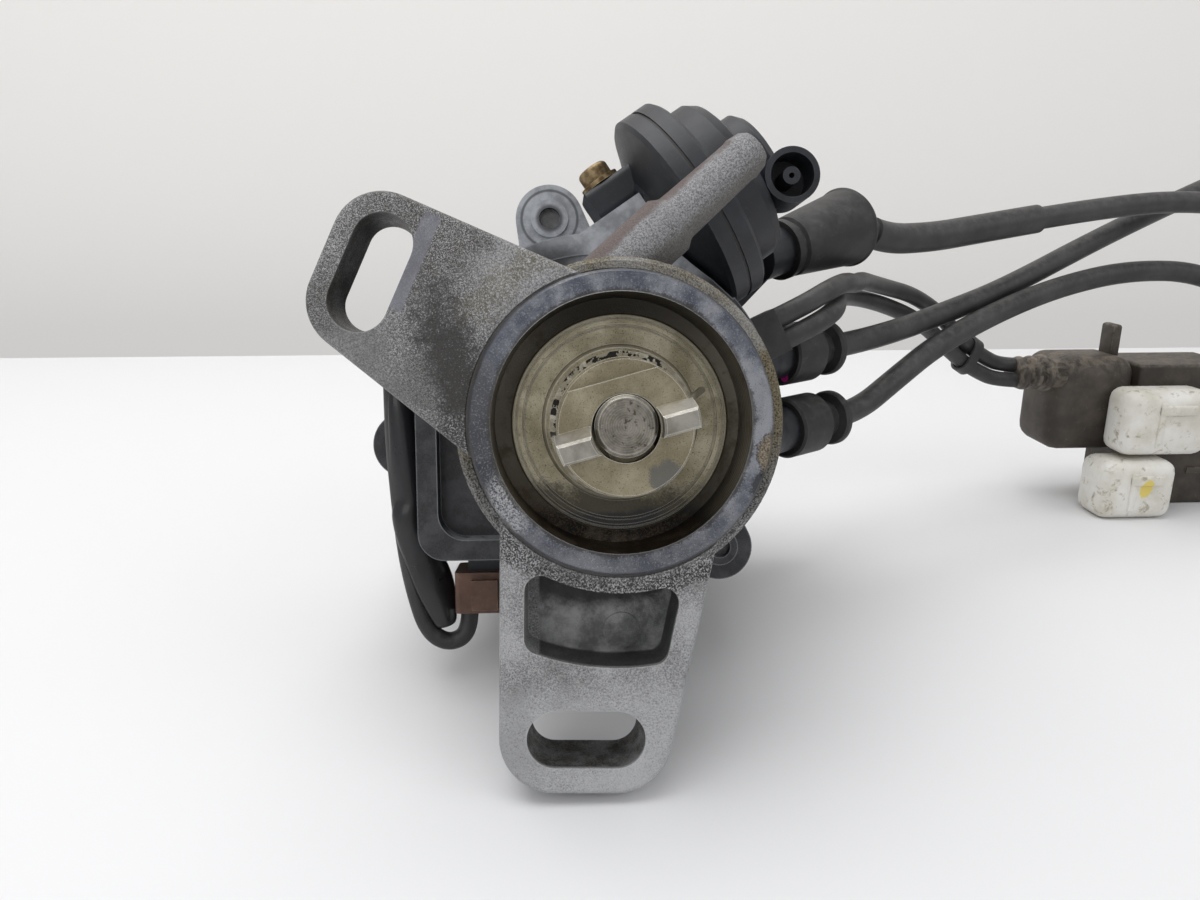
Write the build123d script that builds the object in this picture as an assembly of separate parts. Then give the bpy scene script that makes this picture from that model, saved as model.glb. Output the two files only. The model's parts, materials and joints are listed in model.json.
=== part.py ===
from build123d import *
import os
from math import atan2, cos, degrees, pi, radians, sin, tan

# An ignition distributor, seen from its drive end: X to the right, Y up, and Z along the shaft, out of the
# mouth. "Depth" is the distance behind the face of the mouth, so a depth of 10 is Z = -10. At the end
# everything is laid down as it rests on a bench, on the tip of its long lug and on the foot of its cap.
# All sizes are in millimetres.

# ---------------------------------------------------------------- fits and shared clearances
RUNNING_FIT = 0.05        # radial, shaft in its bearings
FREE_GAP = 0.4            # between pieces that move past each other

# ---------------------------------------------------------------- shaft and coupling
SHAFT_RADIUS = 5.5
SHAFT_END_DEPTH = -10.0
SHAFT_NOSE_RADIUS = 4.0   # carries the cam sleeve
HUB_RADIUS = 12.1
HUB_ROOT_RADIUS = 14.8
HUB_FRONT_DEPTH = -3.0
FLANGE_RADIUS = 20.6
FLANGE_FRONT_DEPTH = 6.0
FLANGE_THICKNESS = 2.6
FLANGE_GROOVE_RADII = (18.0, 19.4)
FLANGE_GROOVE_WIDTH = 0.5
FLANGE_GROOVE_DEPTH = 0.4
DOG_RING_RADIUS = 12.1
DOG_RING_HOLE_RADIUS = 6.05
DOG_RING_THICKNESS = 5.0
DOG_LIFT = 4.0            # how far a dog stands out of the ring
DOG_WIDTH = 3.5
DOG_INNER_RADIUS = 6.3
DOG_TURN = 15.0           # degrees above X
DOG_OFFSET = 1.35         # below the ring's centre
DOG_RAMP = 1.7            # the slope along a dog's upper side
RAMP_FOOT = 0.5
RING_STEP_HEIGHT = 8.8    # the chord above which the ring is cut lower
RING_STEP_DEPTH = 1.2
RING_REST_SHIFT = 0.45    # how low the floating ring rests on the hub's tongue
TONGUE_WIDTH = 8.0        # the hub's tongue, square to the dogs, which drives the dog ring
TONGUE_HEIGHT = 2.2
PIN_RADIUS = 2.0
PIN_DEPTH = 1.0
BAND_THICKNESS = 1.1
BAND_WIDTH = 5.0
BAND_START = 17.0         # degrees above X, where its bent tail is
BAND_GAP = 84.0           # degrees left open, below the tail
BAND_TAIL = 3.6
BAND_TAIL_TURN = 38.0

# ---------------------------------------------------------------- housing
MOUTH_RADIUS = 28.1
MOUTH_BORE_RADIUS = 24.0
MOUTH_BORE_DEPTH = 13.0
MOUTH_LIP = 4.0           # depth at which the boss begins behind the machined ring
BOSS_RADIUS = 30.8
BOSS_BACK_DEPTH = 15.0
NECK_RADIUS = 25.0
NECK_DEPTH = 22.0
LUG_FACE_DEPTH = 1.25
LUG_THICKNESS = 12.0
LUG_ROOT_RADIUS = 22.3
LUG_EDGE_ROUND = 1.0
SLOT_WIDTH = 11.0
SLOT_LENGTH = 22.4
SLOT_DRAFT = 4.0          # degrees, narrowing towards the back
SLOT_STRAIGHT = 2.0       # the un-drafted depth at the front
UPPER_SLOT_CENTRE = (-45.0, 27.7)
UPPER_SLOT_TURN = 65.5
UPPER_LUG_END_RADIUS = 9.3
LOWER_SLOT_CENTRE = (-7.2, -59.4)
LOWER_SLOT_TURN = -2.0
LOWER_LUG_END_RADIUS = 10.7
POCKET_TOP_RADIUS = 31.6
POCKET_BOTTOM_RADIUS = 45.8
POCKET_DEPTH = 9.0
POCKET_WALL = 4.6
POCKET_CORNER = 3.0
POCKET_DRAFT = 3.0
EJECTOR_MARK_RADIUS = 3.6
NIPPLE_TURN = 41.5        # degrees above X
NIPPLE_OFFSET = 21.6      # of its axis from the shaft's axis
NIPPLE_DEPTH = 14.0
NIPPLE_COLLAR_RADIUS = 6.1
NIPPLE_COLLAR_REACH = 34.4
NIPPLE_ROOT_RADIUS = 5.1
NIPPLE_TIP_RADIUS = 4.1
NIPPLE_REACH = 56.0
NIPPLE_BORE_RADIUS = 2.6
BOWL_RADIUS = 40.2
BOWL_SHIFT = -2.8         # of the bowl's and the cap's centre from the shaft's axis, along X
BOWL_FRONT_DEPTH = 36.0
BOWL_RIM_RECESS = 5.0     # how far the web lies behind the rim
BOWL_WALL = 4.6
BOWL_FLOOR = 3.0
BOWL_FOOT = 31.6          # the flat underside, below the shaft's axis
BOWL_CORNER = 6.0
BOWL_BORE_RADIUS = 28.2   # the machined inside
JOINT_FLANGE_THICKNESS = 5.0
JOINT_FLANGE_OVERHANG = 2.8
EAR_ANGLES = (105.5, 188.0, 310.0)
EAR_REACHES = (48.2, 48.2, 43.0)
EAR_RADIUS = 8.0
EAR_THICKNESS = 8.0
EAR_SCREW_RADIUS = 2.5
EAR_SCREW_HEAD_RADIUS = 4.6
EAR_SCREW_HEAD_HEIGHT = 3.6
EAR_BOSS_RADIUS = 4.4
BEARING_RADIUS = 12.0
BEARING_WIDTH = 9.0
SEAL_RADIUS = 13.0
SEAL_WIDTH = 5.0
SEAL_LIP_RADIUS = SHAFT_RADIUS + RUNNING_FIT
BUSH_RADIUS = 8.5
BUSH_LENGTH = 11.0
SEAL_FRONT_DEPTH = MOUTH_BORE_DEPTH
BEARING_FRONT_DEPTH = SEAL_FRONT_DEPTH + SEAL_WIDTH
WEB_BACK_DEPTH = BOWL_FRONT_DEPTH + BOWL_RIM_RECESS + BOWL_FLOOR
BUSH_FRONT_DEPTH = WEB_BACK_DEPTH - BUSH_LENGTH

# ---------------------------------------------------------------- what stands on what, web to cap
GOVERNOR_CLEARANCE = 1.0
GOVERNOR_THICKNESS = 1.5
WEIGHT_LIFT = 0.1
WEIGHT_THICKNESS = 4.0
PLATE_CLEARANCE = 3.4     # between the weights and the advance plate
PLATE_THICKNESS = 1.4
PLATE_SINK = 8.0          # of the advance plate below the bowl's rim
RELUCTOR_LIFT = 2.2
RELUCTOR_WIDTH = 4.0
ROTOR_CLEARANCE = 3.4     # between the reluctor and the rotor's neck
ROTOR_NECK = 3.0
ROTOR_LENGTH = 12.0
CAP_HEADROOM = 8.0
GOVERNOR_DEPTH = WEB_BACK_DEPTH + GOVERNOR_CLEARANCE
WEIGHT_DEPTH = GOVERNOR_DEPTH + GOVERNOR_THICKNESS + WEIGHT_LIFT
PLATE_DEPTH = WEIGHT_DEPTH + WEIGHT_THICKNESS + PLATE_CLEARANCE
PARTING_DEPTH = PLATE_DEPTH + PLATE_SINK                 # where the cap meets the housing
JOINT_FLANGE_DEPTH = PARTING_DEPTH - JOINT_FLANGE_THICKNESS
RELUCTOR_DEPTH = PLATE_DEPTH + PLATE_THICKNESS + RELUCTOR_LIFT
ROTOR_FRONT_DEPTH = RELUCTOR_DEPTH + RELUCTOR_WIDTH + ROTOR_CLEARANCE + ROTOR_NECK
ROTOR_BACK_DEPTH = ROTOR_FRONT_DEPTH + ROTOR_LENGTH
CAP_CAVITY_DEPTH = ROTOR_BACK_DEPTH + CAP_HEADROOM
SHAFT_NOSE_DEPTH = GOVERNOR_DEPTH + 2.0
SHAFT_BACK_DEPTH = PLATE_DEPTH + 4.0
CAM_FRONT_DEPTH = SHAFT_NOSE_DEPTH + 1.0
CAM_BACK_DEPTH = ROTOR_FRONT_DEPTH + 4.0

# ---------------------------------------------------------------- vacuum advance unit
VACUUM_TURN = 34.0        # degrees above X
VACUUM_OFFSET = 28.8      # of its axis from the shaft's axis
VACUUM_DEPTH = PLATE_DEPTH - 7.0
ARM_HALF_WIDTH = 8.0
ARM_REACH = 33.0
ARM_WINDOW = 4.4          # half width of the way through the arm
ARM_DEPTHS = (VACUUM_DEPTH - 10.5, VACUUM_DEPTH + 10.0)
SHELL_RADIUS = 24.4
SHELL_WALL = 2.4
CAPSULE_GAP = 0.8         # all round the shells, towards the housing and the cap
RIM_WIDTH = 4.0
FRONT_SHELL_LENGTH = 9.0
RIM_REACH = ARM_REACH + FRONT_SHELL_LENGTH               # where the two shells meet
REAR_DOME_RADIUS = 19.6
REAR_DOME_DEPTH = 9.0
REAR_BOSS_RADIUS = 12.0
REAR_BOSS_REACH = 20.5
HOOD_RADIUS = 6.0
HOOD_WALL = 1.3
HOOD_LENGTH = 10.0
HOOD_ALONG = RIM_REACH + 19.5
HOOD_ACROSS = VACUUM_OFFSET - 8.0
HOOD_FRONT_DEPTH = VACUUM_DEPTH - 16.0
STUB_RADIUS = 1.9
STUB_BORE_RADIUS = 0.6
DIAPHRAGM_THICKNESS = 0.8
ROD_WIDTH = 5.0
ROD_THICKNESS = 1.6
ROD_JOG = (8.0, 16.0)      # where the rod steps towards the advance plate
ROD_FOOT = 3.0            # past its pin
ROD_DISC_RADIUS = 11.4
SHELL_TONGUE_LENGTH = 14.0
SHELL_TONGUE_HEIGHT = 7.2
SCREW_REACH = 28.5        # along the arm
ROD_PIN_RADIUS = 1.3
GOLD_SCREW_RADIUS = 3.0

# ---------------------------------------------------------------- governor, pick-up and rotor
GOVERNOR_RADIUS = 25.0
GOVERNOR_WIDTH = 34.0
WEIGHT_PIVOT_RADIUS = 19.0
WEIGHT_PIN_RADIUS = 1.6
SPRING_ANGLE = 157.0
SPRING_PLACE_RADIUS = 18.5
SPRING_RADIUS = 1.6
SPRING_LENGTH = 8.0
CAM_RADIUS = 6.2
PLATE_RADIUS = 27.2
PLATE_BORE_RADIUS = 9.0
RELUCTOR_RADIUS = 10.6
RELUCTOR_TEETH = 4
PICKUP_GAP = 0.5
ROTOR_RADIUS = 15.0
ROTOR_REACH = 27.0
ROTOR_STRIP = 1.2

# ---------------------------------------------------------------- cap
CAP_RADIUS = 50.0
CAP_SKIRT_RADIUS = BOWL_RADIUS + JOINT_FLANGE_OVERHANG
CAP_BACK_WALL = 29.0
CAP_BACK_DEPTH = CAP_CAVITY_DEPTH + CAP_BACK_WALL
CAP_STEP_DEPTHS = (CAP_BACK_DEPTH - 31.0, CAP_BACK_DEPTH - 23.0)
CAP_FOOT = 48.0           # the flat that it rests on, below the axis
CAP_CAVITY_RADIUS = 33.4
CAP_EAR_THICKNESS = 7.0
TERMINAL_RADIUS = 28.0
TERMINAL_WIDTH = 5.0
BRUSH_RADIUS = 2.5
BRUSH_LENGTH = 7.0
TOWER_RADIUS = 6.4
TOWER_BORE_RADIUS = 4.2
TOWER_LENGTH = 16.0
TOWER_LEAN = (0.82, 0.12, -0.56)   # the way the towers point
TOWER_FRONT_DEPTH = PARTING_DEPTH + 15.0
TOWER_BACK_DEPTH = CAP_BACK_DEPTH - 14.0
TOWER_REACHES = (45.0, 50.0)       # of the front and the back pair, from the shaft's axis
TOWER_HEIGHTS = (13.6, -6.4)
TERMINAL_ANGLES = (30, 120, 210, 300)
COIL_TOWER_PLACE = (40.0, 39.3, -PARTING_DEPTH - 8.0)
COIL_TOWER_LEAN = (0.793, 0.295, -0.533)
COIL_TOWER_LENGTH = 22.0
PEDESTAL_DEPTHS = (PARTING_DEPTH + 10.0, PARTING_DEPTH + 17.0)   # what carries the coil tower
PEDESTAL_ROOT = (28.0, 27.0)
SEAL_GROOVE_RADIUS = CAP_CAVITY_RADIUS + 2.2

# ---------------------------------------------------------------- boots and leads
LEAD_RADIUS = 3.5
BOOT_RADIUS = 8.4
BOOT_NECK_RADIUS = 5.2
BOOT_DISC_RADIUS = 7.8
BOOT_LENGTH = 31.0
BOOT_SEAT = 8.0           # where a boot starts on its tower
COIL_BOOT_RADIUS = 7.9
COIL_BOOT_MOUTH_RADIUS = 11.0
COIL_BOOT_LENGTH = 38.0
COIL_BOOT_HOLLOW = 10.0
COIL_BOOT_SEAT = 8.5
PLUG_BOOT_RADIUS = 7.6
PLUG_BOOT_LENGTH = 42.0
SLEEVE_RADIUS = 4.4
HARNESS_RADIUS = 2.6
PICKUP_LEAD_RADIUS = 2.1
PICKUP_SLEEVE_RADIUS = 4.1
PLUG_BOOT_DIRECTION = (0, -1, 0)

# ---------------------------------------------------------------- igniter, grommets and connectors
IGNITER_FRONT_DEPTH = WEB_BACK_DEPTH + 2.0
IGNITER_RIGHT = -26.6
IGNITER_TOP = -11.0
IGNITER_FLOOR = 4.0                # above the bowl's foot
CONNECTOR_PLACE = (-29.0, IGNITER_FRONT_DEPTH + 4.0)    # X, and depth
IGNITER_PLUG_WIDTH = 14.0
IGNITER_PLUG_HEIGHT = 9.5
PICKUP_DEPTH = IGNITER_FRONT_DEPTH + 2.0
PICKUP_GROMMET_BOX = ((-53.4, 9.0, -PICKUP_DEPTH - 4.4), (-40.2, 18.0, -PICKUP_DEPTH + 4.4))
HARNESS_TURN = 25.0
HARNESS_GROMMET_REACH = 47.5
HARNESS_EXIT_DEPTH = PARTING_DEPTH - 4.5
HARNESS_SPACING = 5.6
STALK_DROP = 4.4          # how far the igniter's plug hangs below the bowl


# ================================================================ helpers
def slab(sketch, near, far):
    """A flat sketch made solid from one depth to another."""
    return Pos(0, 0, -far) * extrude(sketch, amount=far - near)


def disc(radius, near, far, centre=(0, 0)):
    return slab(Pos(*centre) * Circle(radius), near, far)


def tube(outer, inner, near, far, centre=(0, 0)):
    return disc(outer, near, far, centre) - disc(inner, near, far, centre)


def turned(profile, plane=Plane.XY):
    """A closed profile of (radius, height) turned about the plane's own Z axis."""
    outline = make_face(Polyline([(r, 0, h) for r, h in profile], close=True))
    return plane.location * revolve(outline, Axis.Z)


def on_circle(radius, angle):
    return (radius * cos(radians(angle)), radius * sin(radians(angle)))


def side_plane(turn, offset, depth):
    """A plane whose Z axis runs at turn degrees above X and passes the shaft's axis at offset."""
    across = Vector(-sin(radians(turn)), cos(radians(turn)), 0)
    foot = across * offset + Vector(0, 0, -depth)
    return Plane(origin=foot, x_dir=(0, 0, 1), z_dir=(cos(radians(turn)), sin(radians(turn)), 0))


def pointing(origin, direction):
    return Plane(origin=origin, z_dir=direction)


def slot_ends(centre, turn):
    reach = (SLOT_LENGTH - SLOT_WIDTH) / 2
    step = Vector(*on_circle(reach, turn), 0)
    middle = Vector(*centre, 0)
    return [middle - step, middle + step]


def largest(shape):
    return max(shape.solids(), key=lambda s: s.volume)


# ================================================================ how it lies on the bench
UPPER_ENDS = slot_ends(UPPER_SLOT_CENTRE, UPPER_SLOT_TURN)
LOWER_ENDS = slot_ends(LOWER_SLOT_CENTRE, LOWER_SLOT_TURN)
LUG_REACH = LOWER_LUG_END_RADIUS - min(end.Y for end in LOWER_ENDS)
LUG_BACK_DEPTH = LUG_FACE_DEPTH + LUG_THICKNESS
TILT = degrees(atan2(LUG_REACH - CAP_FOOT, CAP_BACK_DEPTH - LUG_BACK_DEPTH))
LAID = Rotation(90 - TILT, 0, 0)
FLOOR = -(
    (LUG_REACH - LUG_EDGE_ROUND) * cos(radians(TILT))
    + (LUG_BACK_DEPTH - LUG_EDGE_ROUND) * sin(radians(TILT))
    + LUG_EDGE_ROUND
)


# ================================================================ housing
def lug(ends, end_radius):
    discs = [Pos(end.X, end.Y) * Circle(end_radius) for end in ends] + [Circle(LUG_ROOT_RADIUS)]
    outline = make_hull([edge for shape in discs for edge in shape.edges()])
    body = slab(outline, LUG_FACE_DEPTH, LUG_BACK_DEPTH)
    rims = body.edges().group_by(Axis.Z)
    return fillet(rims[0] + rims[-1], LUG_EDGE_ROUND), outline


def slot(centre, turn):
    outline = Location((*centre, -LUG_FACE_DEPTH - SLOT_STRAIGHT), (0, 0, turn)) * SlotOverall(
        SLOT_LENGTH, SLOT_WIDTH
    )
    front = extrude(outline, amount=SLOT_STRAIGHT + 1)
    back = extrude(outline, amount=-(LUG_THICKNESS - SLOT_STRAIGHT + 0.01), taper=SLOT_DRAFT)
    return front + back


def pocket(outline):
    inside = offset(outline, -POCKET_WALL)
    ring = Circle(POCKET_BOTTOM_RADIUS) - Circle(POCKET_TOP_RADIUS)
    window = inside & ring & Pos(0, -50) * Rectangle(100, 100)
    window = fillet(window.vertices(), POCKET_CORNER)
    return Pos(0, 0, -LUG_FACE_DEPTH) * extrude(window, amount=-POCKET_DEPTH, taper=POCKET_DRAFT)


def bowl_outline(grow=0.0):
    """The bowl seen from the front: round, with a squared lower left corner and a flat foot."""
    reach = BOWL_RADIUS + grow
    foot = BOWL_FOOT + grow
    corner = Pos(BOWL_SHIFT - reach / 2, -foot / 2) * Rectangle(reach, foot)
    whole = (Pos(BOWL_SHIFT, 0) * Circle(reach) + corner) - Pos(0, -foot - 30) * Rectangle(200, 60)
    corner_vertex = min(whole.vertices(), key=lambda v: v.X + v.Y)
    return fillet([corner_vertex], BOWL_CORNER)


def ear_places():
    """The angle and the centre of each ear that holds the cap."""
    return [(angle, on_circle(reach, angle)) for angle, reach in zip(EAR_ANGLES, EAR_REACHES)]


def arm_box(half_width, near, far, start, reach):
    """A box along the vacuum unit's axis."""
    plane = side_plane(VACUUM_TURN, VACUUM_OFFSET, (near + far) / 2)
    return plane.location * Pos(0, 0, (start + reach) / 2) * Box(far - near, 2 * half_width, reach - start)


def nipple_plane():
    return side_plane(NIPPLE_TURN, NIPPLE_OFFSET, NIPPLE_DEPTH)


def hose_nipple():
    tip = NIPPLE_TIP_RADIUS
    return turned(
        [
            (0, 4),
            (NIPPLE_COLLAR_RADIUS, 4),
            (NIPPLE_COLLAR_RADIUS, NIPPLE_COLLAR_REACH - 1.5),
            (NIPPLE_COLLAR_RADIUS - 1.0, NIPPLE_COLLAR_REACH),
            (NIPPLE_ROOT_RADIUS - 0.2, NIPPLE_COLLAR_REACH + 0.6),
            (tip + 0.3, NIPPLE_REACH - 5),
            (tip + 0.5, NIPPLE_REACH - 4),
            (tip, NIPPLE_REACH - 1.4),
            (tip - 0.9, NIPPLE_REACH - 0.2),
            (tip - 1.4, NIPPLE_REACH),
            (0, NIPPLE_REACH),
        ],
        nipple_plane(),
    )


def make_housing():
    web_front, web_back = BOWL_FRONT_DEPTH + BOWL_RIM_RECESS, WEB_BACK_DEPTH
    spine = turned(
        [
            (0, 0),
            (MOUTH_RADIUS - 0.5, 0),
            (MOUTH_RADIUS, -0.5),
            (MOUTH_RADIUS, -MOUTH_LIP),
            (BOSS_RADIUS - 0.8, -MOUTH_LIP),
            (BOSS_RADIUS, -MOUTH_LIP - 0.8),
            (BOSS_RADIUS, -BOSS_BACK_DEPTH),
            (NECK_RADIUS, -NECK_DEPTH),
            (NECK_RADIUS - 1, -web_front),
            (NECK_RADIUS - 1, -web_back),
            (0, -web_back),
        ]
    )
    upper, _ = lug(UPPER_ENDS, UPPER_LUG_END_RADIUS)
    lower, lower_outline = lug(LOWER_ENDS, LOWER_LUG_END_RADIUS)
    upper -= disc(MOUTH_RADIUS - 1, 0, MOUTH_LIP)
    lower -= disc(MOUTH_RADIUS - 1, 0, MOUTH_LIP)
    bowl = slab(bowl_outline(), BOWL_FRONT_DEPTH, PARTING_DEPTH)
    bowl += slab(bowl_outline(JOINT_FLANGE_OVERHANG), JOINT_FLANGE_DEPTH, PARTING_DEPTH)
    bowl -= slab(bowl_outline(-BOWL_WALL), BOWL_FRONT_DEPTH - 1, web_front)
    body = spine + upper + lower + bowl + hose_nipple()
    body += arm_box(ARM_HALF_WIDTH, *ARM_DEPTHS, 6, ARM_REACH)
    for angle, place in ear_places():
        root = on_circle(BOWL_RADIUS - 6, angle)
        outline = make_hull(
            (Pos(*place) * Circle(EAR_RADIUS)).edges() + (Pos(*root) * Circle(EAR_RADIUS + 2)).edges()
        )
        body += slab(outline, PARTING_DEPTH - EAR_THICKNESS, PARTING_DEPTH)
        body += disc(EAR_BOSS_RADIUS, PARTING_DEPTH - EAR_THICKNESS - 0.8, PARTING_DEPTH, place)
        body -= disc(EAR_SCREW_RADIUS, PARTING_DEPTH - EAR_THICKNESS - 2, PARTING_DEPTH + 1, place)
    # hollows
    body -= disc(MOUTH_BORE_RADIUS, -1, MOUTH_BORE_DEPTH)
    body -= disc(SEAL_RADIUS, MOUTH_BORE_DEPTH - 1, SEAL_FRONT_DEPTH + SEAL_WIDTH)
    body -= disc(BEARING_RADIUS, MOUTH_BORE_DEPTH - 1, BEARING_FRONT_DEPTH + BEARING_WIDTH)
    body -= disc(SHAFT_RADIUS + 1, 0, web_back + 1)
    body -= disc(BUSH_RADIUS, BUSH_FRONT_DEPTH, web_back + 1)
    body -= disc(BOWL_BORE_RADIUS, web_back, PARTING_DEPTH + 1)
    body -= capsule_relief()
    body -= arm_box(ARM_WINDOW, VACUUM_DEPTH - 4, PLATE_DEPTH + 3, -8, ARM_REACH + 1)
    body -= slot(UPPER_SLOT_CENTRE, UPPER_SLOT_TURN) + slot(LOWER_SLOT_CENTRE, LOWER_SLOT_TURN)
    body -= pocket(lower_outline)
    mark_depth = LUG_FACE_DEPTH + POCKET_DEPTH
    body += disc(EJECTOR_MARK_RADIUS, mark_depth - 0.3, mark_depth + 0.5, (0.2, -41.0))
    bore = turned(
        [(0, 14), (NIPPLE_BORE_RADIUS, 14), (NIPPLE_BORE_RADIUS, NIPPLE_REACH + 1), (0, NIPPLE_REACH + 1)],
        nipple_plane(),
    )
    body -= bore
    # seats for the igniter and for the harness grommet
    body -= igniter_shape() + igniter_stalk()
    body -= grommet_shape(HARNESS_GROMMET_REACH + 12) + plain_box(*PICKUP_GROMMET_BOX)
    body -= gold_screw_plane().location * Cylinder(GOLD_SCREW_RADIUS - 0.5, 9)
    return largest(body)


def make_rim_screws():
    """The three screws that hold the cap: heads behind the cap's ears, threads in the housing's."""
    screws = []
    back = PARTING_DEPTH + CAP_EAR_THICKNESS
    for _, place in ear_places():
        head = disc(EAR_SCREW_HEAD_RADIUS, back, back + EAR_SCREW_HEAD_HEIGHT, place)
        head = fillet(head.edges().group_by(Axis.Z)[0], 0.8)
        recess = slab(Pos(*place) * RegularPolygon(2.2, 6), back + 1.4, back + EAR_SCREW_HEAD_HEIGHT + 1)
        shank = disc(EAR_SCREW_RADIUS, PARTING_DEPTH - EAR_THICKNESS + 1.5, back, place)
        screws.append(head + shank - recess)
    return Compound(children=[largest(screw) for screw in screws])


# ================================================================ drive end
def make_drive_shaft():
    return turned(
        [
            (0, -SHAFT_END_DEPTH),
            (SHAFT_RADIUS - 0.6, -SHAFT_END_DEPTH),
            (SHAFT_RADIUS, -SHAFT_END_DEPTH - 0.6),
            (SHAFT_RADIUS, -SHAFT_NOSE_DEPTH),
            (SHAFT_NOSE_RADIUS, -SHAFT_NOSE_DEPTH),
            (SHAFT_NOSE_RADIUS, -SHAFT_BACK_DEPTH),
            (0, -SHAFT_BACK_DEPTH),
        ]
    ) - pin_bore(PIN_RADIUS, SHAFT_RADIUS + 2)


def pin_bore(radius, reach):
    across = Plane(origin=(0, 0, -PIN_DEPTH), z_dir=(*on_circle(1, DOG_TURN + 90), 0))
    return across.location * Cylinder(radius, 2 * reach)


def tongue(half_width, height, reach):
    front = HUB_FRONT_DEPTH
    bar = Box(2 * reach, 2 * half_width, height)
    return Pos(0, 0, -front + height / 2) * Rot(0, 0, DOG_TURN + 90) * bar


def make_coupling_hub():
    back = FLANGE_FRONT_DEPTH + FLANGE_THICKNESS
    hub = turned(
        [
            (SHAFT_RADIUS, -back),
            (FLANGE_RADIUS - 0.4, -back),
            (FLANGE_RADIUS, -back + 0.4),
            (FLANGE_RADIUS, -FLANGE_FRONT_DEPTH - 0.4),
            (FLANGE_RADIUS - 0.4, -FLANGE_FRONT_DEPTH),
            (HUB_ROOT_RADIUS, -FLANGE_FRONT_DEPTH),
            (HUB_ROOT_RADIUS - 0.6, -FLANGE_FRONT_DEPTH + 0.8),
            (HUB_ROOT_RADIUS - 1.6, -FLANGE_FRONT_DEPTH + 1.4),
            (HUB_RADIUS, -FLANGE_FRONT_DEPTH + 1.8),
            (HUB_RADIUS, -HUB_FRONT_DEPTH),
            (SHAFT_RADIUS, -HUB_FRONT_DEPTH),
        ]
    )
    for radius in FLANGE_GROOVE_RADII:
        floor = FLANGE_FRONT_DEPTH + FLANGE_GROOVE_DEPTH
        hub -= tube(radius + FLANGE_GROOVE_WIDTH, radius, FLANGE_FRONT_DEPTH - 1, floor)
    bar = tongue(TONGUE_WIDTH / 2, TONGUE_HEIGHT, HUB_RADIUS) & disc(HUB_RADIUS, -20, HUB_FRONT_DEPTH)
    return hub + (bar - disc(SHAFT_RADIUS, -20, 0)) - pin_bore(PIN_RADIUS, HUB_RADIUS + 3)


def make_dog_ring():
    """The floating ring with the two dogs, as it rests, low on the hub's tongue."""
    front = HUB_FRONT_DEPTH - DOG_RING_THICKNESS
    ring = tube(DOG_RING_RADIUS, DOG_RING_HOLE_RADIUS, front, HUB_FRONT_DEPTH)
    ring = chamfer(ring.edges().group_by(Axis.Z)[-1].sort_by(SortBy.RADIUS)[-1], 0.3)
    above = Rot(0, 0, DOG_TURN) * Pos(0, RING_STEP_HEIGHT + 20) * Rectangle(60, 40)
    ring -= slab(above, front - 1, front + RING_STEP_DEPTH)
    low, high, top = -DOG_WIDTH / 2 - DOG_OFFSET, DOG_WIDTH / 2 - DOG_OFFSET, -front + DOG_LIFT
    section = [
        (low, -front),
        (low, top),
        (high, top),
        (high + DOG_RAMP, -front + RAMP_FOOT),
        (high + DOG_RAMP, -front),
    ]
    bar = extrude(make_face(Polyline([(0, y, z) for y, z in section], close=True)), amount=30, both=True)
    keep = tube(DOG_RING_RADIUS + 0.5, DOG_INNER_RADIUS, front - DOG_LIFT, front)
    dogs = Rot(0, 0, DOG_TURN) * bar & keep
    dogs = chamfer(dogs.edges().group_by(Axis.Z)[-1], 0.35)
    slot_cut = tongue(TONGUE_WIDTH / 2 + 0.05, TONGUE_HEIGHT + 0.1, HUB_RADIUS + 2)
    low_point = on_circle(-RING_REST_SHIFT, DOG_TURN + 90)
    return Pos(*low_point, 0) * (ring + dogs - slot_cut)


def make_coupling_pin():
    return pin_bore(PIN_RADIUS - 0.02, HUB_RADIUS - 0.2)


def make_retaining_band():
    """A spring band round the hub that keeps the pin in; it is open on one side, with a bent tail."""
    near, far = HUB_FRONT_DEPTH + 1.2, HUB_FRONT_DEPTH + 1.2 + BAND_WIDTH
    inner = HUB_RADIUS + 0.02
    ring = tube(inner + BAND_THICKNESS, inner, near, far)
    wedge = make_face(
        Polyline([(0, 0), on_circle(30, BAND_START - BAND_GAP), on_circle(30, BAND_START)], close=True)
    )
    ring -= slab(wedge, near - 1, far + 1)
    end = on_circle(inner + BAND_THICKNESS / 2, BAND_START + 2)
    tail = Pos(BAND_TAIL / 2, 0, 0) * Box(BAND_TAIL, BAND_THICKNESS, 2)
    tail = fillet(tail.edges().filter_by(Axis.Z).sort_by(Axis.X)[-2:], BAND_THICKNESS * 0.45)
    return ring + Location((*end, -(near + 1)), (0, 0, BAND_TAIL_TURN)) * tail


def make_thrust_washer():
    near = FLANGE_FRONT_DEPTH + FLANGE_THICKNESS
    return tube(SHAFT_RADIUS + 4.5, SHAFT_RADIUS + RUNNING_FIT, near, near + 1.0)


def make_oil_seal():
    """A spring-loaded lip seal, pressed in at the floor of the mouth."""
    front, back = -SEAL_FRONT_DEPTH, -SEAL_FRONT_DEPTH - SEAL_WIDTH
    return turned(
        [
            (SEAL_RADIUS, front),
            (SEAL_RADIUS - 2.0, front),
            (SEAL_RADIUS - 2.4, front - 2.5),
            (SHAFT_RADIUS + 1.6, front - 2.2),
            (SEAL_LIP_RADIUS, front - 0.8),
            (SEAL_LIP_RADIUS, front - 1.6),
            (SHAFT_RADIUS + 1.0, front - 3.4),
            (SHAFT_RADIUS + 1.0, back),
            (SEAL_RADIUS, back),
        ]
    )


def make_shaft_bearing():
    near, far = BEARING_FRONT_DEPTH, BEARING_FRONT_DEPTH + BEARING_WIDTH
    race = tube(BEARING_RADIUS, SHAFT_RADIUS + RUNNING_FIT, near, far)
    for face in (near - 1, far - 0.5):
        race -= tube(BEARING_RADIUS - 2.2, SHAFT_RADIUS + 2.0, face, face + 1.5)
    return race


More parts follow.
